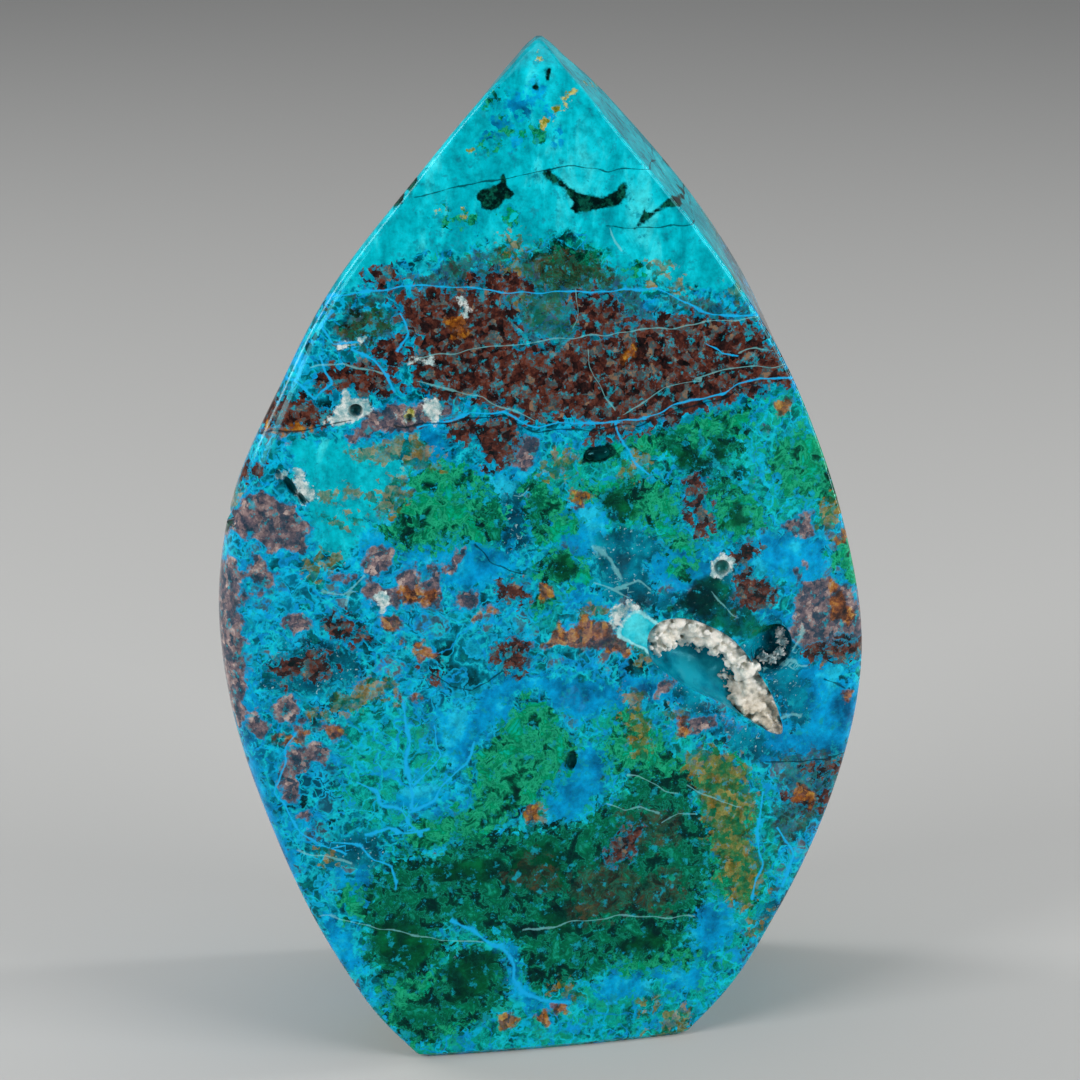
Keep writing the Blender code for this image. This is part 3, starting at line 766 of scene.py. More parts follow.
        ((36, 79.6), (40, 81), (41, 78), (37.6, 77)),
        ((37.6, 72.6), (39.6, 73), (39.6, 71), (38, 70.8)),
        ((17.6, 58), (20, 57.6), (19.6, 56), (17.8, 56)),
        ((21, 51), (24.6, 52.4), (27, 51.4), (26, 49.6), (22, 49.4)),
        ((-12.6, 72), (-9, 73), (-8.6, 70.6), (-11.8, 70)),
        ((-13, 78.8), (-11, 79.4), (-11.4, 76), (-12.8, 76.4)),
    ),
    Mineral.BLACK: (
        ((-8.9, 130), (-7.6, 131.2), (-5.7, 131.8), (-5.5, 133), (-4.9, 133), (-4.8, 131.2), (-3.4, 130.2),
         (-5, 129.3), (-6.4, 128), (-8.1, 128.2)),
        ((0.4, 132.8), (1.4, 133.3), (2.3, 132.4), (4.2, 130.8), (5.5, 129.8), (7, 129.3), (9.4, 129.4),
         (10.7, 129.8), (11.4, 131), (12.2, 130.8), (12.2, 129.2), (11.4, 127.9), (9.5, 127.3), (6, 127.3),
         (4, 127.4), (4.5, 128.6), (3.6, 130.2), (1.6, 131.6), (0.7, 131.8)),
        ((12.9, 124.4), (14.6, 126.2), (14.5, 127.7), (15.1, 127.7), (15.3, 126.7), (17.4, 127.6),
         (19.6, 129.4), (21.6, 128.4), (20.6, 127), (18, 127.2), (15.4, 125.7), (13.5, 124.2)),
        ((-19.4, 131), (-17.8, 132.8), (-17, 132), (-18.4, 130.4)),
        ((-21.4, 129.4), (-19.6, 130.4), (-19.4, 129), (-21, 128.4)),
        ((6, 91.6), (7, 93.8), (9.8, 94.2), (10.8, 92.4), (8.8, 91.2)),
        ((29.4, 94.6), (30.6, 94.4), (30.2, 93)),
        ((3.6, 47.6), (5.2, 48), (5.8, 46), (4.6, 44.8), (3.4, 45.8)),
        ((18.4, 68.9), (19.4, 69.3), (19.8, 68.3), (18.9, 67.9)),
        ((-47, 84.6), (-44, 85), (-43.4, 83.6), (-47, 83.2)),
        ((-0.9, 144.9), (-0.3, 145), (-0.4, 144.3), (-0.9, 144.3)),
        ((1, 146.9), (1.7, 146.8), (1.3, 145.2), (0.9, 145.4)),
    ),
    Mineral.WHITE: (
        ((-30.4, 98.8), (-28.6, 101), (-27.6, 103.2), (-26.4, 102.2), (-24.4, 102), (-23.8, 100),
         (-26, 99.2), (-28, 98.6)),
        ((-16.6, 101.8), (-14.4, 101.6), (-13.8, 100), (-15, 98.6), (-16.2, 99.4)),
        ((-28.6, 109.2), (-25, 109.9), (-24.8, 110.8), (-28.4, 109.8)),
        ((-18.6, 106.9), (-15.4, 106.9), (-15, 107.7), (-18, 107.8)),
        ((-35, 92), (-34, 91.6), (-33.4, 89.6), (-31.6, 89.6), (-32.2, 87.6), (-33.6, 87.2), (-35, 89.6)),
        ((-37, 92), (-36, 92), (-36, 90.6), (-37, 90.8)),
        ((10.6, 66.4), (10.8, 69.8), (13, 70.6), (14.2, 69.2), (12.6, 68.4), (12, 66.4)),
        ((25, 75), (26.6, 76), (28.4, 75.2), (28.4, 73.4), (26.6, 72.4), (25, 73.2)),
        ((-23.8, 73), (-22.4, 73.8), (-21.6, 72), (-23, 71)),
        ((-19.2, 99.9), (-18.2, 100), (-17.8, 98.6), (-19, 98.6)),
        ((-11.6, 115.8), (-10.6, 116), (-10, 113.4), (-10.8, 113.2)),
    ),
    Mineral.GOLD: (
        spot(4.6, 143.6, 0.3), spot(3.6, 142.2, 0.3), spot(2.6, 141.4, 0.5), spot(1.2, 140.2, 0.5),
        spot(0.4, 139.4, 0.4), spot(0, 148, 0.3), spot(-11, 127.6, 0.3), spot(-14, 128.2, 0.3),
        spot(-9.6, 136.4, 0.3), spot(-18.6, 99.2, 0.8),
    ),
    Mineral.GREEN: (
        ((-20, 123), (-10, 124), (-2, 126), (6, 125.6), (14, 124), (20, 119), (14, 114), (10, 108),
         (2, 109), (-4, 110), (-4, 118), (-14, 121)),
        ((4, 96), (20, 98), (40, 104), (48, 90), (48, 78), (34, 78), (20, 76), (4, 80), (-2, 90)),
        ((8, 56), (20, 52), (30, 46), (37, 36), (38, 24), (28, 4), (20, -2), (-22, -2), (-26, 16),
         (-26, 34), (-8, 36)),
        ((-30, 58), (-20, 58), (-12, 52), (-14, 40), (-24, 34), (-30, 42)),
        ((-24, 92), (-4, 92), (-4, 78), (-24, 78)),
    ),
    Mineral.DEEP: (
        # The smooth green lens above the main hollow.
        ((20.6, 69), (22.4, 72.4), (25.6, 73.6), (28.4, 71), (31.6, 66.6), (35, 63.6), (32.6, 62.4),
         (28, 64.6), (24.4, 66)),
        # Dark pockets in the lower green and the upper mosaic.
        ((-16, 31.4), (-6, 32), (-4, 29.4), (-9, 28), (-16, 28.8)),
        ((0, 22.8), (4, 24.4), (8, 22.4), (6.4, 19.6), (1, 19.4)),
        ((-24, 22), (-20, 24), (-15, 18), (-19, 14), (-24, 17)),
        ((-4, 33), (2, 34), (4, 27), (-1, 25), (-5, 28)),
        ((-9, 10), (-6, 16), (-10, 18), (-14, 14), (-13, 9)),
        ((10, 16), (16, 18), (20, 15.6), (14, 14)),
        ((19.4, 92), (22.6, 92), (25.6, 89.6), (24, 88), (20.4, 89.6)),
        ((24.2, 93), (27, 93.4), (27.6, 90.4), (25, 90)),
        ((9, 85.4), (11.4, 86.8), (14.6, 85.6), (13.4, 82.8), (10, 83)),
        ((26, 82), (29, 84), (31, 81), (28, 79.4)),
        ((0.8, 76), (3, 78), (5.4, 76.4), (4, 74.4), (1.6, 74.4)),
    ),
    Mineral.ICE: (
        # The lobe at the upper end of the main hollow.
        ((11.6, 65.2), (12.6, 67.8), (14.4, 68.7), (16.2, 67.5), (17.3, 65.4), (17.4, 63), (16.4, 62),
         (14.8, 63.4), (12.8, 64.4)),
    ),
    Mineral.UMBER: (
        # The olive-brown upper edge of the red rock.
        ((-18, 118.6), (-13, 121), (-6, 122), (2, 122), (9, 120), (14, 116), (16, 111.6), (9, 108),
         (-2, 109), (-4, 113), (-9, 116), (-16, 117)),
        ((17, 115), (24, 114), (31, 111), (24, 110.4)),
        ((-29, 114.6), (-23, 116), (-20, 112), (-24, 109.4), (-29, 110)),
        # Brown-green ends of the lower right.
        ((36, 43), (40, 44), (46, 42), (46, 37), (42, 33), (36, 29), (35, 34), (37, 38)),
        ((-5, 29), (-2, 32), (1, 30.4), (3, 27), (0, 25.4), (-3, 26.6)),
        ((4, 25), (6, 29), (11, 29.6), (14, 27), (19, 27.4), (22, 24.6), (19, 21), (14, 22.4), (9, 20.4),
         (5, 22)),
        ((11, 33), (13, 36.4), (17, 38), (21, 36), (20, 32.6), (15, 31)),
    ),
}


class Vein(Enum):
    """Kinds of thin seam."""

    BRIGHT = "bright_vein"
    PALE = "pale_vein"
    DARK = "dark_vein"


# Each seam: its half width, then its route on the front.
VEINS: dict[Vein, tuple[tuple[float, Outline], ...]] = {
    Vein.BRIGHT: (
        (0.22, ((-31, 116.4), (-27, 116.8), (-20, 117.8), (-15, 117.7), (-8, 117), (-2, 116.2), (5, 116),
                (12, 116.2), (16.5, 116), (19, 114.8), (22, 112.8), (25, 111.6), (31, 111))),
        (0.24, ((-17, 97.6), (-13.6, 98.4), (-10, 99.8), (-5, 99.5), (-2, 97.6), (0, 97), (3, 97.6),
                (9, 97.1), (14, 97.5), (20, 98.8), (26, 100.2), (32, 101.9), (38, 101.8))),
        (0.4, ((-19.8, 57), (-19.2, 51), (-19.7, 46.4), (-18.7, 42.2), (-19.2, 38.8), (-17.8, 36.4))),
        (0.3, ((-9.4, 50), (-11, 46.6), (-14.2, 44), (-15.6, 41.6), (-18.9, 40))),
        (0.26, ((-26.6, 44.6), (-24.2, 43.4), (-23, 40.8), (-20.6, 40.4), (-19.1, 39))),
        (0.32, ((-25, 36.6), (-22.4, 37.4), (-20, 36.6), (-16.8, 37))),
        (0.22, ((-15.4, 52.6), (-14.6, 48.8), (-16.6, 46.2), (-18.9, 43.6))),
        (0.32, ((-30, 35.6), (-26.2, 35), (-24.4, 32.4), (-21.8, 31.4), (-21.2, 28))),
        (0.5, ((-12.8, 22), (-9, 19.6), (-6.5, 18), (-5, 17), (-4, 14.4), (-4, 12), (-3, 10), (0, 8.4),
               (4, 7.4))),
        (0.3, ((33.4, 38), (32.8, 32), (33.4, 27), (32.4, 21.6))),
        (0.3, ((36, 32), (38.4, 27.6), (36.8, 23))),
        (0.22, ((11, 96.4), (12, 93.5), (14, 91), (15.6, 89.4))),
        (0.2, ((24.6, 107.6), (26, 106), (28, 105.8))),
        (0.3, ((-36, 52), (-38.6, 44), (-35, 37), (-29, 33.6))),
        (0.26, ((-33, 108.4), (-34.6, 105), (-31.8, 102), (-29.4, 104.4), (-31, 107.6))),
        (0.3, ((-29.6, 114.4), (-31, 112), (-29, 109.9), (-26, 110.2))),
        (0.3, ((-26, 108.8), (-23.6, 107.4), (-22, 105.4), (-21, 103.6))),
        (0.24, ((-20, 109), (-18.4, 111), (-19.6, 113.6))),
    ),
    Vein.PALE: (
        (0.14, ((-17, 107.8), (-11, 108.5), (-5, 109), (5, 109.6), (12, 110), (19, 110.3), (25, 110.6),
                (31, 110.7))),
        (0.16, ((-17, 104), (-12, 102.5), (-8, 102), (-5.5, 100.2), (-3, 99.4), (-1.2, 98.4))),
        (0.2, ((-32, 106.8), (-28, 107), (-25, 106.1), (-23, 105.7))),
        (0.14, ((23, 102.8), (27, 103.4), (31, 103.7), (36, 103.7))),
        (0.14, ((29, 106.2), (31, 106.6), (33, 106))),
        (0.13, ((12.4, 98.6), (15, 100), (18, 101.4), (23, 102.2))),
        (0.12, ((7, 107), (7.6, 104), (9.4, 101.4), (10.6, 99.4))),
        (0.12, ((5, 116), (5.2, 113.6), (4.8, 111.6))),
        (0.16, ((-32, 23.6), (-25, 22.2), (-20, 20.6), (-15, 19.4), (-9, 18.8))),
        (0.16, ((-2, 19.8), (5, 20.6), (11, 20.8), (16, 20.2), (23, 19.8))),
        (0.18, ((13, 43.2), (16, 42.2), (18.4, 40.4), (19.8, 39.8))),
        (0.16, ((22, 40.4), (26, 38.6), (29.6, 36.4))),
        (0.13, ((10.4, 38.8), (12.6, 37.6), (15.2, 38), (17.4, 36.8))),
        (0.12, ((18.6, 35.2), (20.8, 36.2), (22.8, 35.8))),
        (0.3, ((7.8, 79), (10, 76.8), (11.4, 74.2))),
        (0.26, ((8, 73.4), (11, 71.8), (12.6, 70.8))),
        (0.22, ((11.6, 72.4), (14, 73.2), (15.8, 72.2))),
        (0.3, ((-31, 74), (-28, 73.6), (-26.8, 74.4), (-25.6, 75.8))),
        (0.26, ((-27.3, 74), (-27.6, 72.2))),
        (0.16, ((-35, 34), (-32, 33.4), (-28, 32))),
        (0.3, ((35.6, 49.8), (37.6, 50.2), (38.6, 49.8))),
        (0.3, ((34, 57.4), (36.6, 57.9), (38.6, 57.4))),
        (0.3, ((37.7, 60.4), (38.5, 61.8), (38.7, 63.4))),
        (0.22, ((36.8, 58.8), (38.2, 58.6), (39.4, 57.8))),
        (0.24, ((-3.4, 87), (-2.6, 86.8), (-2, 87.8))),
        (0.2, ((10.3, 124), (10.7, 122.6), (11.2, 121.6))),
        (0.2, ((29, 66.6), (27, 68), (25.4, 70.4))),
    ),
    Vein.DARK: (
        (0.14, ((-17, 130.3), (-10, 131.7), (-5, 132), (0, 132.8), (4, 133.4), (10, 133), (16, 132.4))),
        (0.2, ((-20, 98), (-14, 98.1), (-10, 99.2), (-5, 98.9), (-2, 97), (0, 96.2), (5, 96.6),
               (9, 96.3), (14, 96.6), (20, 98), (26, 99.4), (31, 100.9))),
        (0.22, ((-41, 96.7), (-37, 97.6), (-32, 98), (-27, 98.9))),
        (0.16, ((-15.8, 61), (-13, 58.9), (-10, 58.5), (-7.5, 59.5), (-5.8, 61))),
        (0.2, ((34, 42.9), (39, 42.2), (46, 42.6))),
        (0.2, ((42.6, 55), (45.6, 53.4))),
        (0.12, ((10, 124.8), (16, 124.6), (22, 124.4))),
        (0.3, ((-35.4, 90.6), (-34.6, 88.6), (-33.4, 87.6))),
        (0.18, ((-9, 80), (-7.4, 77.6), (-5, 76), (-2, 75.4))),
    ),
}


def outline_field(x: Array, z: Array, outline: Outline) -> Array:
    """Signed distance to a closed outline.

    Args:
        x: places across, in millimetres.
        z: places up, in millimetres.
        outline: the outline's corners in order.

    Returns:
        Millimetres to the outline, above zero inside.
    """
    corners = np.array(outline, float)
    nearest = np.full(len(x), np.inf)
    inside = np.zeros(len(x), bool)
    for (start_x, start_z), (end_x, end_z) in zip(corners, np.roll(corners, -1, axis=0)):
        run_x, run_z = end_x - start_x, end_z - start_z
        share = np.clip(((x - start_x) * run_x + (z - start_z) * run_z) / (run_x**2 + run_z**2), 0, 1)
        nearest = np.minimum(nearest, np.hypot(x - start_x - share * run_x, z - start_z - share * run_z))
        if run_z:
            crosses = (start_z > z) != (end_z > z)
            inside ^= crosses & (x < start_x + (z - start_z) * run_x / run_z)
    return np.where(inside, nearest, -nearest)


@dataclass
class MineralMap:
    """Writes on the stone's points how far inside each mineral they lie, for its material to read.

    All its sizes are in millimetres.
    """

    shape: StoneShape
    most: float = 3.0
    vein_most: float = 1.2
    # Stands for a place far from every seam.
    vein_far: float = 9.0
    vein_shake: float = 0.5
    vein_shake_size: float = 2.4
    thickness: float = 36.0
    most_share: float = 1.2
    drift_x: float = -7.0
    drift_z: float = 9.0
    narrowing: float = 0.2
    wander: float = 6.0
    wander_size: float = 17.0
    wander_start: float = 10.0
    # A hollow is looked for up to this depth, and its depth is read up to the next one.
    deepest: float = 12.0
    deepest_read: float = 9.0
    left_margin: float = 7.5
    right_margin: float = 4.5
    base_margin: float = 2.0
    # The side hollow gets less painted shade than the other pits, so its depth counts for less.
    side_pit_shade_share: float = 0.12
    side_outline: Outline = spot(34.3, 60.9, 5.4)
    pool_outline: Outline = (
        (10, 66), (14, 72), (24, 70), (30.6, 64.6), (31.2, 60), (33.4, 57), (38.6, 56), (40, 46), (36, 42),
        (28, 46), (16, 56),
    )

    def places(self, points: Array) -> tuple[Array, Array, Array]:
        """Where each point reads the pattern: straight through the stone, drifting towards the back.

        Args:
            points: rows of (x, y, z), in metres.

        Returns:
            Places across, places up and depths behind the front, all in millimetres.
        """
        x, y, z = points.T
        depth = (y - self.shape.front_face(x, z)) / MM
        rise = z / self.shape.height
        x, z = x / MM, z / MM
        share = np.clip(depth / self.thickness, 0, self.most_share)
        fade = np.clip(depth / self.wander_start, 0, 1)
        millimetres = points / MM
        wander_x = StoneNoise(21).at(millimetres, self.wander_size)
        wander_z = StoneNoise(22).at(millimetres, self.wander_size)
        across = x * (1 - self.narrowing * share) + self.drift_x * share + self.wander * fade * wander_x
        up = z + self.drift_z * share * (1 - rise) + self.wander * fade * wander_z
        return across, up, depth

    def mineral_field(self, x: Array, z: Array, outlines: tuple[Outline, ...]) -> Array:
        """Read how far inside a mineral each place lies.

        Args:
            x: places across, in millimetres.
            z: places up, in millimetres.
            outlines: the mineral's patches.

        Returns:
            The deepest of the outlines' signed distances, kept within the useful range.
        """
        best = np.full(len(x), -self.most)
        for outline in outlines:
            corners = np.array(outline)
            low, high = corners.min(axis=0) - self.most, corners.max(axis=0) + self.most
            near = (x > low[0]) & (x < high[0]) & (z > low[1]) & (z < high[1])
            best[near] = np.maximum(best[near], outline_field(x[near], z[near], outline))
        return np.minimum(best, self.most)

    def vein_field(
        self, x: Array, z: Array, veins: tuple[tuple[float, Outline], ...]
    ) -> tuple[Array, Array]:
        """Which side of the nearest seam each point lies on, and how far the seam reaches there.

        Args:
            x: places across, in millimetres.
            z: places up, in millimetres.
            veins: half widths and routes.

        Returns:
            Distance from the middle in half widths, below zero on one side, and the reach, below
            zero past an end or far from any seam.
        """
        side, reach = np.full(len(x), self.vein_far), np.full(len(x), -self.vein_far)
        nearest = np.full(len(x), self.vein_most)
        for half_width, route in veins:
            for (start_x, start_z), (end_x, end_z) in zip(route, route[1:]):
                run_x, run_z = end_x - start_x, end_z - start_z
                length = math.hypot(run_x, run_z)
                along = ((x - start_x) * run_x + (z - start_z) * run_z) / length
                off = ((z - start_z) * run_x - (x - start_x) * run_z) / length
                past = np.maximum(np.maximum(-along, along - length), 0)
                distance = np.hypot(past, off)
                closer = distance < nearest
                nearest[closer] = distance[closer]
                side[closer] = off[closer] / half_width
                joined = (start_x, start_z) != route[0], (end_x, end_z) != route[-1]
                free = np.maximum(np.where(joined[0], 0, -along), np.where(joined[1], 0, along - length))
                reach[closer] = (self.vein_most - np.maximum(distance, 2 * free))[closer]
        return side, reach

    def hollow_depth(self, points: Array, depth: Array) -> Array:
        """Read how deep in a hollow each point lies.

        Args:
            points: rows of (x, y, z), in metres.
            depth: their depths behind the front, in millimetres.

        Returns:
            Depth inside a hollow in millimetres, and zero on the outer faces.
        """
        x, _, z = points.T / MM
        left = smooth_curve(self.shape.left_edge, z) + self.left_margin
        right = smooth_curve(self.shape.right_edge, z) - self.right_margin
        inner = (x > left) & (x < right) & (depth < self.deepest) & (z > self.base_margin)
        return np.where(inner, np.clip(depth, 0, self.deepest_read), 0)

    def write_on(self, mesh: bpy.types.Mesh) -> None:
        """Add one number per point for each mineral and seam.

        Args:
            mesh: the stone's mesh.
        """
        points = read_rows(mesh, "co")
        across, up, depth = self.places(points)
        fields = {kind.value: self.mineral_field(across, up, PATCHES[kind]) for kind in Mineral}
        millimetres = points / MM
        shaken = [
            place + self.vein_shake * StoneNoise(seed).at(millimetres, self.vein_shake_size)
            for place, seed in ((across, 23), (up, 24))
        ]
        for kind in Vein:
            side, reach = self.vein_field(*shaken, VEINS[kind])
            fields[kind.value] = side
            fields[f"{kind.value}_reach"] = reach
        hollow = self.hollow_depth(points, depth)
        in_pool = outline_field(millimetres[:, 0], millimetres[:, 2], self.pool_outline) > 0
        beside = outline_field(millimetres[:, 0], millimetres[:, 2], self.side_outline) > 0
        fields["pool"] = np.where(in_pool, hollow, 0)
        # Depth in the other pits and the side hollow, which their material turns into painted shade.
        fields["pit"] = np.where(in_pool, 0, hollow * np.where(beside, self.side_pit_shade_share, 1))
        for name, values in fields.items():
            attribute = mesh.attributes.new(name, "FLOAT", "POINT")
            attribute.data.foreach_set("value", values.astype(np.float32))


# ---------------------------------------------------------------------------------------
# Finishes

Socket = bpy.types.NodeSocket
# A ColorRamp's stops: place from 0 to 1, and colour.
Ramp = tuple[tuple[float, str], ...]


def linear(colour: str) -> tuple[float, float, float, float]:
    """Turn an sRGB hex colour into Blender's linear red, green, blue and alpha."""
    parts = [int(colour[i : i + 2], 16) / 255 for i in (1, 3, 5)]
    return (*(p / 12.92 if p <= 0.04045 else ((p + 0.055) / 1.055) ** 2.4 for p in parts), 1.0)


def add_node(
    tree: bpy.types.NodeTree, kind: str, inputs: dict[Any, Any] | None = None, **settings: Any
) -> bpy.types.Node:
    """Add a node with its settings and links.

    Args:
        tree: the material's node tree.
        kind: Blender's name for the node, without its ShaderNode.
        inputs: for each socket, a value or the socket that feeds it.
        settings: the node's own properties. ramp holds a ColorRamp's stops.

    Returns:
        The new node.
    """
    node = tree.nodes.new(f"ShaderNode{kind}")
    stops = settings.pop("ramp", None)
    for name, value in settings.items():
        setattr(node, name, value)
    if stops:
        elements = node.color_ramp.elements
        while len(elements) < len(stops):
            elements.new(1.0)
        for element, (place, colour) in zip(elements, stops):
            element.position = place
            element.color = linear(colour)
    for name, value in (inputs or {}).items():
        if isinstance(value, Socket):
            tree.links.new(value, node.inputs[name])
        else:
            node.inputs[name].default_value = value
    return node


def per_mm(size: float) -> float:
    """Noise scale that gives bumps of a size in millimetres."""
    return 1 / (size * MM)


def empty_material(name: str) -> bpy.types.Material:
    """Start a material.

    Args:
        name: the real material, and how its surface was made.

    Returns:
        The material, with no nodes yet.
    """
    material = bpy.data.materials.new(name)
    material.use_nodes = True
    material.node_tree.nodes.clear()
    return material


@dataclass(frozen=True)
class Layer:
    """One mineral's look: the grains that colour it and fray its border, and its colours.

    The border moves by up to fray millimetres over its grain's range, and is soft over soft
    millimetres. The ramp holds the colours from the darkest grain up.
    """

    mineral: Mineral
    grain: str
    border: str
    fray: float
    soft: float
    ramp: Ramp
    cover: float = 1.0
    rim: str = ""


# Chrysocolla is a soft blue-green copper silicate. Silica makes it hard enough to polish, and its
# grains run from sky blue over cyan to teal with cloudy borders.
BASE_RAMP: Ramp = (
    (0.31, "#00181c"), (0.39, "#003c44"), (0.44, "#006478"), (0.475, "#008aa4"), (0.50, "#18c8dc"),
    (0.525, "#0084a0"), (0.565, "#005860"), (0.61, "#007c7c"), (0.66, "#10b0ac"), (0.72, "#00443c"),
)

LAYERS: tuple[Layer, ...] = (
    Layer(Mineral.SILKY, "silk", "bits_a", 8, 0.8, (
        (0.30, "#008c9c"), (0.41, "#00a8b8"), (0.5, "#00bccc"), (0.58, "#0cccdc"), (0.68, "#3cdce6"))),
    Layer(Mineral.AZURE, "cloud_b", "bits_a", 8, 0.4, (
        (0.34, "#005080"), (0.43, "#007cb4"), (0.5, "#0096d4"), (0.57, "#00a8e0"), (0.64, "#20c8ec")),
        cover=0.9),
    Layer(Mineral.SEA, "cloud_c", "bits_c", 7, 0.6, (
        (0.34, "#002430"), (0.45, "#00485c"), (0.54, "#006c84"), (0.64, "#0090a8")), cover=0.92),
    Layer(Mineral.MALACHITE, "moss_a", "bits_c", 9, 0.25, (
        (0.30, "#00140e"), (0.39, "#003c26"), (0.44, "#00704a"), (0.495, "#20b080"), (0.55, "#007c4e"),
        (0.60, "#00a06c"), (0.66, "#00b0a0")), rim="#0094b4"),
    Layer(Mineral.FOREST, "moss_b", "bits_a", 9, 0.3, (
        (0.30, "#000c0a"), (0.40, "#00241a"), (0.475, "#00442e"), (0.50, "#109070"), (0.53, "#005438"),
        (0.6, "#007048"), (0.68, "#14a084"))),
    Layer(Mineral.DEEP, "cloud_c", "wide_b", 5, 0.6, (
        (0.36, "#000c04"), (0.46, "#002c14"), (0.54, "#00481c"), (0.62, "#006834")), cover=0.86),
    Layer(Mineral.UMBER, "moss_c", "bits_b", 10, 0.6, (
        (0.32, "#080c08"), (0.42, "#1c1c10"), (0.48, "#3c2c14"), (0.52, "#106450"), (0.56, "#44301c"),
        (0.66, "#5c4c28")), cover=0.72),
    Layer(Mineral.OCHRE, "bits_a", "bits_b", 9, 0.35, (
        (0.32, "#005c3c"), (0.42, "#2c6024"), (0.5, "#68681c"), (0.58, "#94741c"), (0.68, "#b89038")),
        cover=0.72),
    Layer(Mineral.MAUVE, "bits_c", "wide_a", 7, 0.3, (
        (0.30, "#20140c"), (0.41, "#4a2a1e"), (0.5, "#724838"), (0.6, "#966e5c"), (0.7, "#c4a490")),
        cover=0.85, rim="#0098cc"),
    Layer(Mineral.CUPRITE, "bits_b", "bits_c", 8, 0.2, (
        (0.30, "#0a0606"), (0.40, "#281412"), (0.48, "#4c241c"), (0.55, "#6c3828"), (0.61, "#2c5c64"),
        (0.68, "#8c6c54")), rim="#0084a8"),
    Layer(Mineral.RUST, "bits_c", "wide_b", 7, 0.35, (
        (0.30, "#2c1408"), (0.41, "#582c0c"), (0.5, "#844410"), (0.58, "#a86410"), (0.68, "#b88c38")),
        cover=0.88),
    Layer(Mineral.ICE, "cloud_a", "wide_a", 2, 0.15, (
        (0.36, "#0898b0"), (0.48, "#18c0d4"), (0.6, "#50dce8")), rim="#98e8ee"),
    Layer(Mineral.BLACK, "fine_a", "wide_a", 2.5, 0.18, (
        (0.38, "#000404"), (0.5, "#00201a"), (0.6, "#0c5c48"))),
    Layer(Mineral.WHITE, "fine_b", "fine_c", 4, 0.25, (
        (0.38, "#6ca4ac"), (0.48, "#a8c4c4"), (0.56, "#dce4e0"))),
    Layer(Mineral.GOLD, "fine_a", "fine_b", 6, 0.2, (
        (0.36, "#2c6c20"), (0.48, "#8c8c28"), (0.58, "#d0c878"))),
)


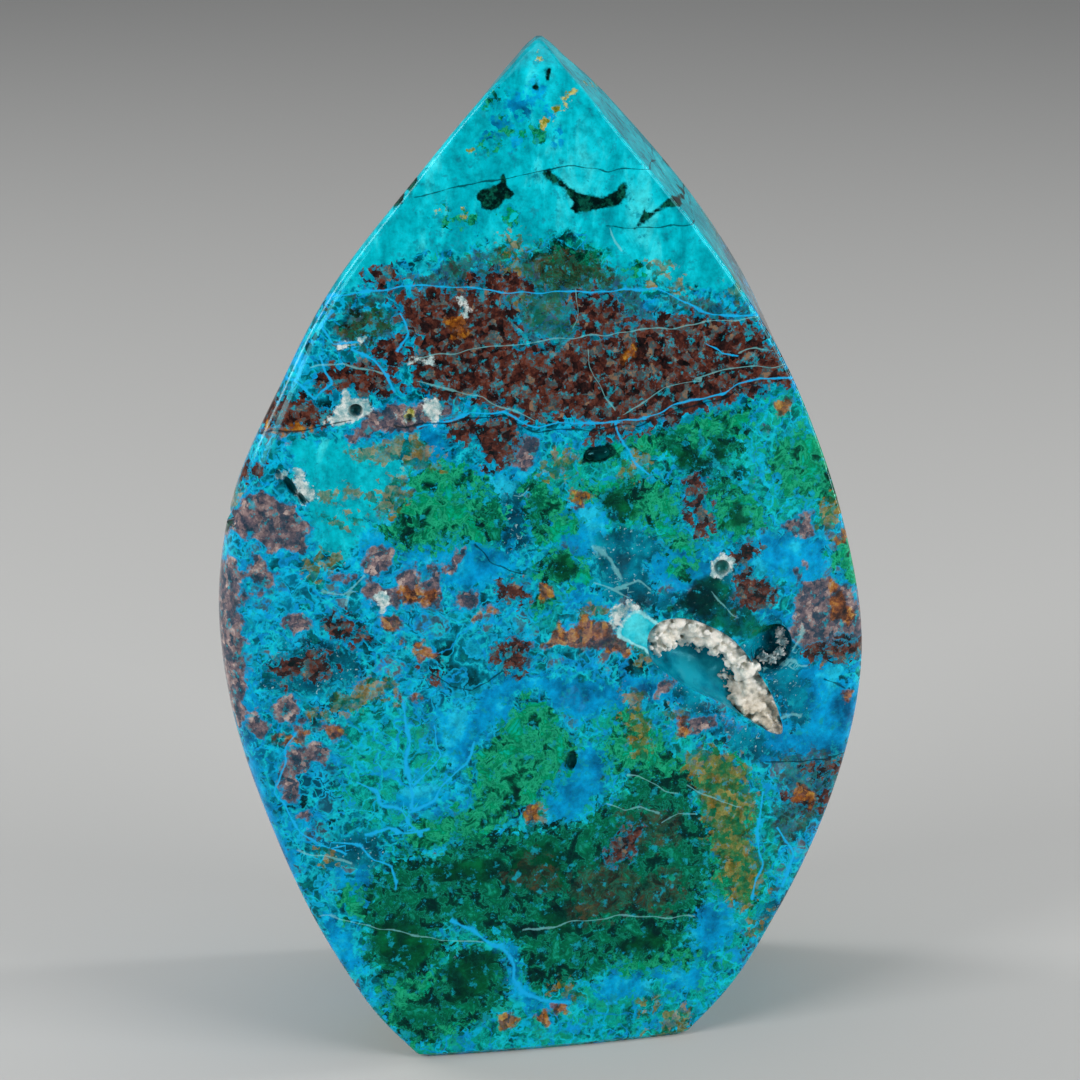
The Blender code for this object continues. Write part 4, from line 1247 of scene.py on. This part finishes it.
class PolishedChrysocolla:
    """Natural copper-mineral breccia in silica, cut and tumbled to a wet-looking polish.

    The polish gives sharp, slightly wavy reflections over colour that changes grain by grain.
    All its sizes are in millimetres.
    """

    # Each shared noise: grain size, detail, roughness and distortion.
    noises = {
        "wide": (2.8, 5.0, 0.6, 0.0),
        "cloud": (5.2, 8.0, 0.58, 0.0),
        "moss": (2.4, 7.0, 0.66, 0.45),
        "fine": (1.5, 6.0, 0.7, 0.0),
    }
    # Bits are cells of one millimetre, blurred into the fine noise.
    bit_size = 1.0
    bit_share = 0.25
    bit_warp = (1.8, 2.4)
    # Silk is drawn out along its fibres, which lean by a few degrees.
    silk_size = 7.0
    silk_lean = 14.0
    silk_stretch = (1.5, 1.0, 0.45)
    lace_size = 4.6
    lace_tints = ("#08bce8", "#0c98dc", "#10c8d8")
    lace_half = 0.028
    lace_strength = 0.85
    # A rim shows this far outside its mineral.
    rim_width = 0.42
    rim_cover = 0.9
    shade_share = 0.65
    shade_ramp: Ramp = ((0.34, "#8c9498"), (0.5, "#dce0e0"), (0.62, "#ffffff"))
    fragment_size = 3.4
    fragment_warp = (3.0, 5.0)
    fragment_least = 0.4
    fragment_rim = "#10b4e4"
    # From a cell's edge inwards: where the rim or the rock starts, where it is full, and its cover.
    fragment_rim_edge = (0.02, 0.05, 0.8)
    fragment_rock_edge = (0.09, 0.2, 0.88)
    # How much of the ground's own grain shows in a fragment.
    fragment_grain = 0.42
    fragment_ramp: Ramp = (
        (0.0, "#00304c"), (0.16, "#4a241a"), (0.30, "#00484c"), (0.44, "#7c3c1c"), (0.52, "#00749c"),
        (0.66, "#6c4c48"), (0.78, "#005c40"), (0.92, "#202c40"),
    )
    green_fray = 14.0
    green_edge = (7.8, 8.5)
    green_cover = 0.88
    green_ramp: Ramp = (
        (0.32, "#00302c"), (0.41, "#006450"), (0.48, "#009080"), (0.505, "#10c8b4"), (0.53, "#00988c"),
        (0.60, "#14b080"), (0.68, "#006c60"),
    )
    # Minerals with small specks: the least grain that shows as one, and their tint.
    speck_looks = {Mineral.UMBER: (0.62, "#148c70"), Mineral.CUPRITE: (0.56, "#109cb0")}
    speck_soft = 0.07
    speck_strength = 0.8
    sparkle_size = 0.5
    sparkle_tint = "#b8e4ea"
    sparkle_edge = (0.64, 0.72)
    sparkle_strength = 0.7
    # Each kind of seam: its tint and strength.
    seam_looks = {
        Vein.BRIGHT: ("#16ace6", 0.9),
        Vein.PALE: ("#80d0d4", 0.45),
        Vein.DARK: ("#001820", 0.8),
    }
    # The main hollow's floor in its own teal; the pit ramp is painted shade, dark teal for the shade inside
    # the other pits.
    pool_colour_and_pit_shade_ramps: dict[str, Ramp] = {
        "pit": ((0.38, "#00201f"), (0.5, "#00484c"), (0.62, "#0a746c")),
        "pool": ((0.38, "#004c60"), (0.5, "#007e98"), (0.62, "#18a4ba")),
    }
    # How deep a hollow's colour, the pool's own teal or the pits' painted shade, starts and is full.
    hollow_edge = (0.2, 1.0)
    hollow_cover = 0.95

    def __init__(self) -> None:
        """Start the material and its shared grains."""
        self.material = empty_material("polished_chrysocolla_breccia")
        self.tree = self.material.node_tree
        self.place = add_node(self.tree, "TexCoord").outputs["Object"]
        self.grains: dict[str, Socket] = {}
        self.make_grains()
        # The ground's colour, which each mineral is laid over.
        self.colour = add_node(
            self.tree, "ValToRGB", {"Fac": self.grains["cloud_a"]}, ramp=BASE_RAMP
        ).outputs[0]

    def share_channels(self, name: str, colour: Socket) -> None:
        """Keep a colour's three channels as three grains.

        Args:
            name: the grains' name, before their letter.
            colour: the colour.
        """
        split = add_node(self.tree, "SeparateColor", {"Color": colour})
        for letter, channel in zip("abc", split.outputs):
            self.grains[f"{name}_{letter}"] = channel

    def make_grains(self) -> None:
        """Make the noises that the minerals share, each from a real grain size in millimetres."""
        colours = {}
        for name, (size, detail, roughness, distortion) in self.noises.items():
            noise = add_node(
                self.tree, "TexNoise",
                {"Vector": self.place, "Scale": per_mm(size), "Detail": detail, "Roughness": roughness,
                 "Distortion": distortion},
            )
            colours[name] = noise.outputs["Color"]
            self.share_channels(name, colours[name])
        self.warped = self.warp(*self.bit_warp)
        bits = add_node(
            self.tree, "TexVoronoi", {"Vector": self.warped, "Scale": per_mm(self.bit_size)}
        )
        blended = add_node(
            self.tree, "Mix",
            {"Factor": self.bit_share, 6: colours["fine"], 7: bits.outputs["Color"]}, data_type="RGBA",
        )
        self.share_channels("bits", blended.outputs[2])
        stretched = add_node(
            self.tree, "Mapping",
            {"Vector": self.place, "Rotation": (0, math.radians(self.silk_lean), 0),
             "Scale": self.silk_stretch},
        )
        silk = add_node(
            self.tree, "TexNoise",
            {"Vector": stretched.outputs[0], "Scale": per_mm(self.silk_size), "Detail": 7.0,
             "Roughness": 0.6, "Distortion": 0.7},
        )
        self.grains["silk"] = silk.outputs["Fac"]

    def warp(self, size: float, reach: float) -> Socket:
        """Places moved about by a noise, so that cells lose their straight sides.

        Args:
            size: width of one wave, in millimetres.
            reach: how far a place moves over the noise's range, in millimetres.

        Returns:
            The moved places.
        """
        noise = add_node(
            self.tree, "TexNoise",
            {"Vector": self.place, "Scale": per_mm(size), "Detail": 3.0, "Roughness": 0.6},
        )
        centred = add_node(
            self.tree, "VectorMath", {0: noise.outputs["Color"], 1: (0.5, 0.5, 0.5)},
            operation="SUBTRACT",
        )
        return add_node(
            self.tree, "VectorMath",
            {0: centred.outputs[0], 1: (reach * MM,) * 3, 2: self.place}, operation="MULTIPLY_ADD",
        ).outputs[0]

    def lay(self, above: Any, mask: Socket) -> None:
        """Lay a colour over the stone's colour so far, where the mask shows it.

        Args:
            above: the colour, or the socket that gives it.
            mask: 0 where it is hidden, up to 1 where it hides the colour below.
        """
        self.colour = add_node(
            self.tree, "Mix", {"Factor": mask, 6: self.colour, 7: above}, data_type="RGBA"
        ).outputs[2]

    def frayed(self, mineral: Mineral, grain: str, fray: float, edge: Key, cover: float) -> Socket:
        """Show where a mineral lies, with its border broken up by a grain.

        Args:
            mineral: the mineral.
            grain: the grain's name.
            fray: how far the border moves over the grain's range.
            edge: where the mask starts and where it is full.
            cover: the full mask's value.

        Returns:
            The mask.
        """
        inside = add_node(self.tree, "Attribute", attribute_name=mineral.value)
        moved = add_node(
            self.tree, "Math",
            {0: self.grains[grain], 1: fray, 2: inside.outputs["Fac"]}, operation="MULTIPLY_ADD",
        )
        return add_node(
            self.tree, "MapRange",
            {"Value": moved.outputs[0], "From Min": edge[0], "From Max": edge[1], "To Max": cover},
            interpolation_type="SMOOTHSTEP",
        ).outputs[0]

    def band(self, grain: Socket, middle: float, half: float, strength: float) -> Socket:
        """Thin threads where a grain passes through its middle value.

        Args:
            grain: the noise.
            middle: the value along each thread.
            half: half the thread's width, in the noise's own range.
            strength: the mask's highest value.

        Returns:
            The mask.
        """
        off = add_node(self.tree, "Math", {0: grain, 1: middle}, operation="SUBTRACT")
        size = add_node(self.tree, "Math", {0: off.outputs[0]}, operation="ABSOLUTE")
        return add_node(
            self.tree, "MapRange",
            {"Value": size.outputs[0], "From Min": half, "From Max": half * 0.25, "To Max": strength},
        ).outputs[0]

    def build(self) -> bpy.types.Material:
        """Lay the minerals over each other and finish with the polish.

        Returns:
            The finished material.
        """
        self.fragments()
        self.green_drift()
        self.lace()
        for layer in LAYERS:
            self.mineral(layer)
        shade = add_node(
            self.tree, "ValToRGB", {"Fac": self.grains["fine_c"]}, ramp=self.shade_ramp
        )
        self.colour = add_node(
            self.tree, "Mix",
            {"Factor": self.shade_share, 6: self.colour, 7: shade.outputs[0]},
            data_type="RGBA", blend_type="MULTIPLY",
        ).outputs[2]
        self.seams()
        self.pool_floor_and_painted_pit_shade()
        self.polish()
        return self.material

    def fragments(self) -> None:
        """Broken angular pieces of darker rock, 1 to 4 mm across, each with a thin bright blue rim."""
        tree = self.tree
        cell = {"Vector": self.warp(*self.fragment_warp), "Scale": per_mm(self.fragment_size)}
        cells = add_node(tree, "TexVoronoi", cell)
        edges = add_node(tree, "TexVoronoi", cell, feature="DISTANCE_TO_EDGE")
        chance = add_node(tree, "SeparateColor", {"Color": cells.outputs["Color"]})
        tint = add_node(
            tree, "ValToRGB", {"Fac": chance.outputs[0]}, ramp=self.fragment_ramp
        )
        tint.color_ramp.interpolation = "CONSTANT"
        rock = add_node(
            tree, "Mix",
            {"Factor": self.fragment_grain, 6: tint.outputs[0], 7: self.colour}, data_type="RGBA",
        ).outputs[2]
        some = add_node(
            tree, "Math", {0: chance.outputs[1], 1: self.fragment_least},
            operation="GREATER_THAN",
        )
        for above, (low, high, strength) in (
            (linear(self.fragment_rim), self.fragment_rim_edge), (rock, self.fragment_rock_edge),
        ):
            inside = add_node(
                tree, "MapRange",
                {"Value": edges.outputs["Distance"], "From Min": low, "From Max": high,
                 "To Max": strength},
                interpolation_type="SMOOTHSTEP",
            )
            shown = add_node(
                tree, "Math", {0: inside.outputs[0], 1: some.outputs[0]},
                operation="MULTIPLY",
            )
            self.lay(above, shown.outputs[0])

    def green_drift(self) -> None:
        """The greener ground of some regions, in bits among the blue."""
        ground = add_node(
            self.tree, "ValToRGB", {"Fac": self.grains["moss_b"]}, ramp=self.green_ramp
        )
        mask = self.frayed(
            Mineral.GREEN, "bits_c", self.green_fray, self.green_edge, self.green_cover
        )
        self.lay(ground.outputs[0], mask)

    def lace(self) -> None:
        """Thin blue threads through the ground."""
        noise = add_node(
            self.tree, "TexNoise",
            {"Vector": self.warped, "Scale": per_mm(self.lace_size), "Detail": 2.0, "Roughness": 0.5},
        )
        parts = add_node(self.tree, "SeparateColor", {"Color": noise.outputs["Color"]})
        for channel, tint in zip(parts.outputs, self.lace_tints):
            threads = self.band(channel, 0.5, self.lace_half, self.lace_strength)
            self.lay(linear(tint), threads)

    def mineral(self, layer: Layer) -> None:
        """Lay one mineral, with its rim and its specks.

        Args:
            layer: the mineral's look.
        """
        middle, soft = layer.fray / 2, layer.soft
        mask = self.frayed(
            layer.mineral, layer.border, layer.fray, (middle - soft, middle + soft), layer.cover
        )
        if layer.rim:
            outer = middle - self.rim_width
            wider = self.frayed(
                layer.mineral, layer.border, layer.fray, (outer - soft, outer + soft), self.rim_cover
            )
            self.lay(linear(layer.rim), wider)
        tint = add_node(
            self.tree, "ValToRGB", {"Fac": self.grains[layer.grain]}, ramp=layer.ramp
        )
        self.lay(tint.outputs[0], mask)
        if layer.mineral is Mineral.SEA:
            self.sparkle(mask)
        if layer.mineral in self.speck_looks:
            self.specks(*self.speck_looks[layer.mineral])

    def specks(self, least: float, tint: str) -> None:
        """Cyan specks under a millimetre across.

        Args:
            least: the least grain that shows as a speck.
            tint: their colour.
        """
        mask = add_node(
            self.tree, "MapRange",
            {"Value": self.grains["fine_a"], "From Min": least, "From Max": least + self.speck_soft,
             "To Max": self.speck_strength},
            interpolation_type="SMOOTHSTEP",
        )
        self.lay(linear(tint), mask.outputs[0])

    def sparkle(self, where: Socket) -> None:
        """Tiny white quartz grains, half a millimetre across, where the druse comes through.

        Args:
            where: the mask that holds them.
        """
        grain = add_node(
            self.tree, "TexNoise",
            {"Vector": self.place, "Scale": per_mm(self.sparkle_size), "Detail": 2.0, "Roughness": 0.6},
        )
        low, high = self.sparkle_edge
        bright = add_node(
            self.tree, "MapRange",
            {"Value": grain.outputs["Fac"], "From Min": low, "From Max": high,
             "To Max": self.sparkle_strength},
        )
        mask = add_node(
            self.tree, "Math", {0: bright.outputs[0], 1: where}, operation="MULTIPLY"
        )
        self.lay(linear(self.sparkle_tint), mask.outputs[0])

    def seams(self) -> None:
        """The thin veins and healed cracks, each with its own colour."""
        tree = self.tree
        for kind, (tint, strength) in self.seam_looks.items():
            side = add_node(tree, "Attribute", attribute_name=kind.value)
            size = add_node(tree, "Math", {0: side.outputs["Fac"]}, operation="ABSOLUTE")
            # A seam swells and thins along its way, and its sides are rough.
            swell = add_node(
                tree, "MapRange",
                {"Value": self.grains["wide_b"], "From Min": 0.34, "From Max": 0.66, "To Min": 0.5,
                 "To Max": 2.6},
            )
            size = add_node(
                tree, "Math", {0: size.outputs[0], 1: swell.outputs[0]}, operation="MULTIPLY"
            )
            rough = add_node(
                tree, "Math", {0: self.grains["fine_b"], 1: 3.0, 2: size.outputs[0]},
                operation="MULTIPLY_ADD",
            )
            line = add_node(
                tree, "MapRange",
                {"Value": rough.outputs[0], "From Min": 2.9, "From Max": 1.7, "To Max": strength},
                interpolation_type="SMOOTHSTEP",
            )
            along = add_node(tree, "Attribute", attribute_name=f"{kind.value}_reach")
            reach = add_node(
                tree, "MapRange",
                {"Value": along.outputs["Fac"], "From Min": 0.0, "From Max": 0.4},
            )
            mask = add_node(
                tree, "Math", {0: line.outputs[0], 1: reach.outputs[0]}, operation="MULTIPLY"
            )
            self.lay(linear(tint), mask.outputs[0])

    def pool_floor_and_painted_pit_shade(self) -> None:
        """The smooth teal floor of the main hollow, and painted shade that darkens the other pits with
        their depth.
        """
        start, full = self.hollow_edge
        # The pit attribute's depth lays painted shade in the small pits and the side hollow.
        for name, ramp in self.pool_colour_and_pit_shade_ramps.items():
            depth = add_node(self.tree, "Attribute", attribute_name=name)
            mask = add_node(
                self.tree, "MapRange",
                {"Value": depth.outputs["Fac"], "From Min": start, "From Max": full,
                 "To Max": self.hollow_cover},
                interpolation_type="SMOOTHSTEP",
            )
            tint = add_node(
                self.tree, "ValToRGB", {"Fac": self.grains["cloud_b"]}, ramp=ramp
            )
            self.lay(tint.outputs[0], mask.outputs[0])

    def polish(self) -> None:
        """Give the colour its polished surface."""
        tree = self.tree
        rough = add_node(
            tree, "MapRange",
            {"Value": self.grains["fine_b"], "From Min": 0.35, "From Max": 0.65, "To Min": 0.08,
             "To Max": 0.2},
        )
        wave = add_node(
            tree, "Bump",
            {"Strength": 0.04, "Distance": 0.2 * MM, "Height": self.grains["wide_a"]},
        )
        shader = add_node(
            tree, "BsdfPrincipled",
            {"Base Color": self.colour, "Roughness": rough.outputs[0], "IOR": 1.5,
             "Normal": wave.outputs[0], "Specular IOR Level": 0.42,
             "Specular Tint": linear("#58c8d8")},
        )
        add_node(tree, "OutputMaterial", {"Surface": shader.outputs[0]})


@dataclass(frozen=True)
class CloudyChalcedony:
    """White chalcedony grown in rounded puffs: dull like unglazed porcelain, and slightly see-through."""

    grain: float = 1.4
    # The crust is white above the first height and beige below the second, in metres.
    white_above: float = 57 * MM
    beige_below: float = 51 * MM
    white_ramp: Ramp = ((0.34, "#b0bab6"), (0.45, "#d2d4ca"), (0.56, "#eeeae0"))
    beige_ramp: Ramp = ((0.34, "#90887a"), (0.47, "#beb4a0"), (0.6, "#e2dacb"))
    bump: float = 0.28
    bump_depth: float = 0.2 * MM
    roughness: float = 0.42
    ior: float = 1.54
    glow: float = 0.45
    glow_reach: float = 1.2 * MM
    glow_colour: Key3 = (1.0, 0.95, 0.85)

    def build(self) -> bpy.types.Material:
        """Make the material.

        Returns:
            The finished material.
        """
        material = empty_material("cloudy_white_chalcedony")
        tree = material.node_tree
        place = add_node(tree, "TexCoord").outputs["Object"]
        height = add_node(tree, "SeparateXYZ", {0: place})
        warmth = add_node(
            tree, "MapRange",
            {"Value": height.outputs[2], "From Min": self.white_above, "From Max": self.beige_below},
        )
        noise = add_node(
            tree, "TexNoise",
            {"Vector": place, "Scale": per_mm(self.grain), "Detail": 6.0, "Roughness": 0.6},
        )
        grain = noise.outputs["Fac"]
        white = add_node(tree, "ValToRGB", {"Fac": grain}, ramp=self.white_ramp)
        beige = add_node(tree, "ValToRGB", {"Fac": grain}, ramp=self.beige_ramp)
        colour = add_node(
            tree, "Mix",
            {"Factor": warmth.outputs[0], 6: white.outputs[0], 7: beige.outputs[0]}, data_type="RGBA",
        )
        bump = add_node(
            tree, "Bump",
            {"Strength": self.bump, "Distance": self.bump_depth, "Height": grain},
        )
        shader = add_node(
            tree, "BsdfPrincipled",
            {"Base Color": colour.outputs[2], "Roughness": self.roughness, "IOR": self.ior,
             "Normal": bump.outputs[0], "Subsurface Weight": self.glow,
             "Subsurface Radius": self.glow_colour, "Subsurface Scale": self.glow_reach},
        )
        add_node(tree, "OutputMaterial", {"Surface": shader.outputs[0]})
        return material


@dataclass(frozen=True)
class ClearQuartz:
    """Small clear quartz points: glassy faces that catch the light, cloudy in patches."""

    grain: float = 0.9
    ramp: Ramp = ((0.4, "#6c98a0"), (0.5, "#c4d8d8"), (0.6, "#f8faf8"))
    roughness: float = 0.08
    ior: float = 1.544
    clearness: float = 0.35

    def build(self) -> bpy.types.Material:
        """Make the material.

        Returns:
            The finished material.
        """
        material = empty_material("natural_drusy_quartz")
        tree = material.node_tree
        place = add_node(tree, "TexCoord").outputs["Object"]
        noise = add_node(
            tree, "TexNoise", {"Vector": place, "Scale": per_mm(self.grain), "Detail": 4.0}
        )
        colour = add_node(tree, "ValToRGB", {"Fac": noise.outputs["Fac"]}, ramp=self.ramp)
        shader = add_node(
            tree, "BsdfPrincipled",
            {"Base Color": colour.outputs[0], "Roughness": self.roughness, "IOR": self.ior,
             "Transmission Weight": self.clearness},
        )
        add_node(tree, "OutputMaterial", {"Surface": shader.outputs[0]})
        return material


# ---------------------------------------------------------------------------------------
# Pieces


@dataclass
class Stone:
    """The polished leaf with its hollows, pattern and finish."""

    shape: StoneShape
    hollows: Hollows
    # Edges sharper than this stay crisp, in degrees.
    crisp_angle: float = 40.0

    def build(self) -> bpy.types.Object:
        """Make the stone and put it in the place of its solid.

        Returns:
            The finished piece.
        """
        stone = object_from("polished_stone", self.shape.blank())
        self.hollows.cut_into(stone)
        stone.data.shade_smooth()
        stone.data.set_sharp_from_angle(angle=math.radians(self.crisp_angle))
        MineralMap(self.shape).write_on(stone.data)
        stone.data.materials.clear()
        stone.data.materials.append(PolishedChrysocolla().build())
        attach(stone, "root")
        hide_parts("stone")
        return stone


@dataclass
class ChalcedonyCrust:
    """The white cloud of chalcedony that lines the main hollow's upper lip."""

    hollows: Hollows
    puffs: int = 30
    # Radii as shares of their lump's: its core, and its smallest and largest puff.
    core: float = 0.8
    puff_least: float = 0.14
    puff_most: float = 0.4
    overreach: float = 0.55 * MM
    voxel: float = 0.2 * MM
    billow: float = 0.22 * MM
    # The billows' two sizes in millimetres, and the share of the small ones.
    wide_billow: float = 0.9
    small_billow: float = 0.4
    small_share: float = 0.5
    least_depth: float = 0.3 * MM
    depth_wave: float = 0.6
    depth_wave_size: float = 1.6
    # Loose tufts on the hollow's floor.
    tufts: tuple[Lump, ...] = (
        (21.4, 62.4, 4.4, 0.9), (23.4, 61.4, 4.3, 0.7), (26.0, 60.0, 4.4, 0.6), (28.0, 57.8, 4.2, 0.7),
        (28.6, 54.6, 4.0, 0.9), (27.6, 56.0, 4.3, 0.5), (29.0, 52.6, 3.4, 1.2), (33.6, 49.6, 1.8, 1.3),
        (16.6, 64.0, 2.4, 1.4), (17.2, 61.8, 2.6, 1.0), (35.4, 50.2, 1.9, 1.3), (36.2, 48.0, 1.5, 1.2),
        (34.0, 52.8, 2.1, 1.2), (35.4, 46.8, 1.4, 1.1),
    )

    def puff_balls(self) -> Array:
        """Scatter puffs over every lump and tuft.

        Returns:
            Rows of (x, y, z, radius) in metres.
        """
        chance = np.random.default_rng(11)
        rows = []
        lumps = (*self.hollows.main_lumps, *self.tufts)
        for x, y, z, radius in self.hollows.lump_balls(lumps, 0):
            rows.append((x, y, z, radius * self.core))
            for _ in range(self.puffs):
                way = Vector(chance.normal(size=3)).normalized()
                size = radius * chance.uniform(self.puff_least, self.puff_most)
                middle = Vector((x, y, z)) + way * (radius + self.overreach - size)
                rows.append((*middle, size))
        return np.array(rows)

    def build(self) -> bpy.types.Object:
        """Make the crust and put it in the place of its solid.

        Returns:
            The finished piece.
        """
        crust = skin_of_balls("white_chalcedony", self.puff_balls(), self.voxel)
        mesh = crust.data
        points = read_rows(mesh, "co")
        millimetres = points / MM
        billows = StoneNoise(31).at(millimetres, self.wide_billow)
        billows = billows + self.small_share * StoneNoise(32).at(millimetres, self.small_billow)
        points += read_rows(mesh, "normal") * (billows * self.billow)[:, None]
        face = self.hollows.shape.front_face(points[:, 0], points[:, 2])
        wave = self.depth_wave * StoneNoise(33).at(points / MM, self.depth_wave_size)
        points[:, 1] = np.maximum(points[:, 1], face + self.least_depth * (1 + wave))
        mesh.vertices.foreach_set("co", points.ravel())
        mesh.update()
        mesh.shade_smooth()
        mesh.materials.append(CloudyChalcedony().build())
        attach(crust, "root")
        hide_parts("chalcedony_crust")
        return crust


@dataclass
class QuartzDruse:
    """The small nest of quartz points in the side hollow."""

    hollows: Hollows
    points_per_lump: int = 16
    # Sizes as shares of their lump's radius.
    core: float = 0.7
    foot: float = 0.45
    thinnest: float = 0.12
    thickest: float = 0.24
    shortest: float = 0.5
    longest: float = 0.75
    # A point that leans further back than this is turned to the front.
    most_back: float = 0.25
    # The prism's share of a crystal's length, and how far the prism narrows.
    prism_share: float = 0.62
    narrowing: float = 0.92

    def crystal(
        self, bm: bmesh.types.BMesh, root: Vector, way: Vector, radius: float, length: float
    ) -> None:
        """Add one six-sided crystal with a pointed end.

        Args:
            bm: the mesh that it joins.
            root: middle of its foot.
            way: unit vector along it.
            radius: its radius.
            length: its length from foot to point.
        """
        prism_length = length * self.prism_share
        prism = bmesh.ops.create_cone(
            bm, cap_ends=True, segments=6, radius1=radius, radius2=radius * self.narrowing,
            depth=prism_length,
        )["verts"]
        faces = (face for vert in prism for face in vert.link_faces)
        top = max(faces, key=lambda face: face.calc_center_median().z)
        tip = bmesh.ops.poke(bm, faces=[top], offset=length - prism_length)["verts"]
        verts = list(prism) + tip
        bmesh.ops.translate(bm, verts=verts, vec=(0, 0, prism_length / 2))
        turn = Vector((0, 0, 1)).rotation_difference(way).to_matrix()
        bmesh.ops.rotate(bm, verts=verts, cent=(0, 0, 0), matrix=turn)
        bmesh.ops.translate(bm, verts=verts, vec=root)

    def build(self) -> bpy.types.Object:
        """Make the druse and put it in the place of its solid.

        Returns:
            The finished piece.
        """
        chance = np.random.default_rng(12)
        bm = bmesh.new()
        for x, y, z, radius in self.hollows.lump_balls(self.hollows.side_lumps, 0):
            core = bmesh.ops.create_icosphere(bm, subdivisions=2, radius=radius * self.core)["verts"]
            bmesh.ops.translate(bm, verts=core, vec=(x, y, z))
            for _ in range(self.points_per_lump):
                way = Vector(chance.normal(size=3)).normalized()
                if way.y > self.most_back:
                    way.y = -way.y
                size = radius * chance.uniform(self.thinnest, self.thickest)
                reach = radius * chance.uniform(self.shortest, self.longest)
                root = Vector((x, y, z)) + way * radius * self.foot
                self.crystal(bm, root, way, size, reach)
        bmesh.ops.recalc_face_normals(bm, faces=bm.faces)
        druse = object_from("quartz_points", bm)
        druse.data.shade_flat()
        druse.data.materials.append(ClearQuartz().build())
        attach(druse, "root")
        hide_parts("quartz_druse")
        return druse


# ---------------------------------------------------------------------------------------
# Studio


@dataclass(frozen=True)
class Softbox:
    """One soft white light, in metres and watts, turned to a height over the stone's middle."""

    name: str
    place: Key3
    aim_height: float
    width: float
    height: float
    power: float

    def add(self) -> None:
        """Put the light in the scene."""
        data = bpy.data.lights.new(self.name, "AREA")
        data.shape = "RECTANGLE"
        data.size, data.size_y = self.width, self.height
        data.energy = self.power
        light = bpy.data.objects.new(self.name, data)
        light.location = self.place
        way = Vector((0, 0, self.aim_height)) - Vector(self.place)
        light.rotation_euler = way.to_track_quat("-Z", "Y").to_euler()
        bpy.context.scene.collection.objects.link(light)


@dataclass
class Studio:
    """Plain pale floor, soft lights and the camera."""

    floor_half: float = 4.0
    floor_colour: str = "#b4b4b2"
    floor_roughness: float = 0.85
    room_colour: str = "#b4b6ba"
    room_strength: float = 0.35
    camera_distance: float = 0.520
    camera_pitch: float = 18.0
    aim_height: float = 74.5 * MM
    lens: float = 115.7
    softboxes: tuple[Softbox, ...] = (
        Softbox("left_strip", (-0.80, 0.24, 0.60), 0.08, 0.24, 0.9, 4.5),
        Softbox("right_strip", (0.8, 0.17, 0.34), 0.1, 0.08, 0.7, 3.0),
        Softbox("key_softbox", (-0.68, -0.46, 0.40), 0.07, 0.45, 0.45, 5.5),
        Softbox("fill_softbox", (0.74, -0.38, 0.36), 0.07, 0.45, 0.45, 5.3),
        Softbox("top_softbox", (0.0, 0.1, 1.1), 0.06, 0.8, 0.6, 2.5),
    )

    def add_floor(self) -> None:
        """Put the plain floor under the stone."""
        bm = bmesh.new()
        bmesh.ops.create_grid(bm, x_segments=1, y_segments=1, size=self.floor_half)
        floor = object_from("studio_floor", bm)
        material = bpy.data.materials.new("matt_paper_backdrop")
        material.use_nodes = True
        shader = material.node_tree.nodes["Principled BSDF"]
        shader.inputs["Base Color"].default_value = linear(self.floor_colour)
        shader.inputs["Roughness"].default_value = self.floor_roughness
        floor.data.materials.append(material)

    def add_room(self) -> None:
        """Put the soft grey surroundings round the stone."""
        world = bpy.data.worlds.new("soft_grey_room")
        world.use_nodes = True
        background = world.node_tree.nodes["Background"]
        background.inputs["Color"].default_value = linear(self.room_colour)
        background.inputs["Strength"].default_value = self.room_strength
        bpy.context.scene.world = world

    def add_camera(self) -> None:
        """Put the camera in front of the stone, looking down a little."""
        camera = bpy.data.objects.new("camera", bpy.data.cameras.new("camera"))
        camera.data.lens = self.lens
        camera.data.sensor_width = 36.0
        pitch = math.radians(self.camera_pitch)
        back, up = self.camera_distance * math.cos(pitch), self.camera_distance * math.sin(pitch)
        camera.location = (0, -back, self.aim_height + up)
        camera.rotation_euler = (math.radians(90) - pitch, 0, 0)
        bpy.context.scene.collection.objects.link(camera)
        bpy.context.scene.camera = camera

    def build(self) -> None:
        """Set up floor, lights, surroundings and camera."""
        self.add_floor()
        for softbox in self.softboxes:
            softbox.add()
        self.add_room()
        bpy.context.scene.view_settings.view_transform = "Standard"
        self.add_camera()


def main() -> None:
    """Build each piece in order and report it."""
    logging.basicConfig(level=logging.INFO, format="%(name)s: %(message)s")
    shape = StoneShape()
    hollows = Hollows(shape)
    for builder in (Stone(shape, hollows), ChalcedonyCrust(hollows), QuartzDruse(hollows)):
        piece = builder.build()
        log.info("%s: %d faces", piece.name, len(piece.data.polygons))
    Studio().build()
    log.info("studio ready")
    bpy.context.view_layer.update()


if __name__ == "__main__":
    main()
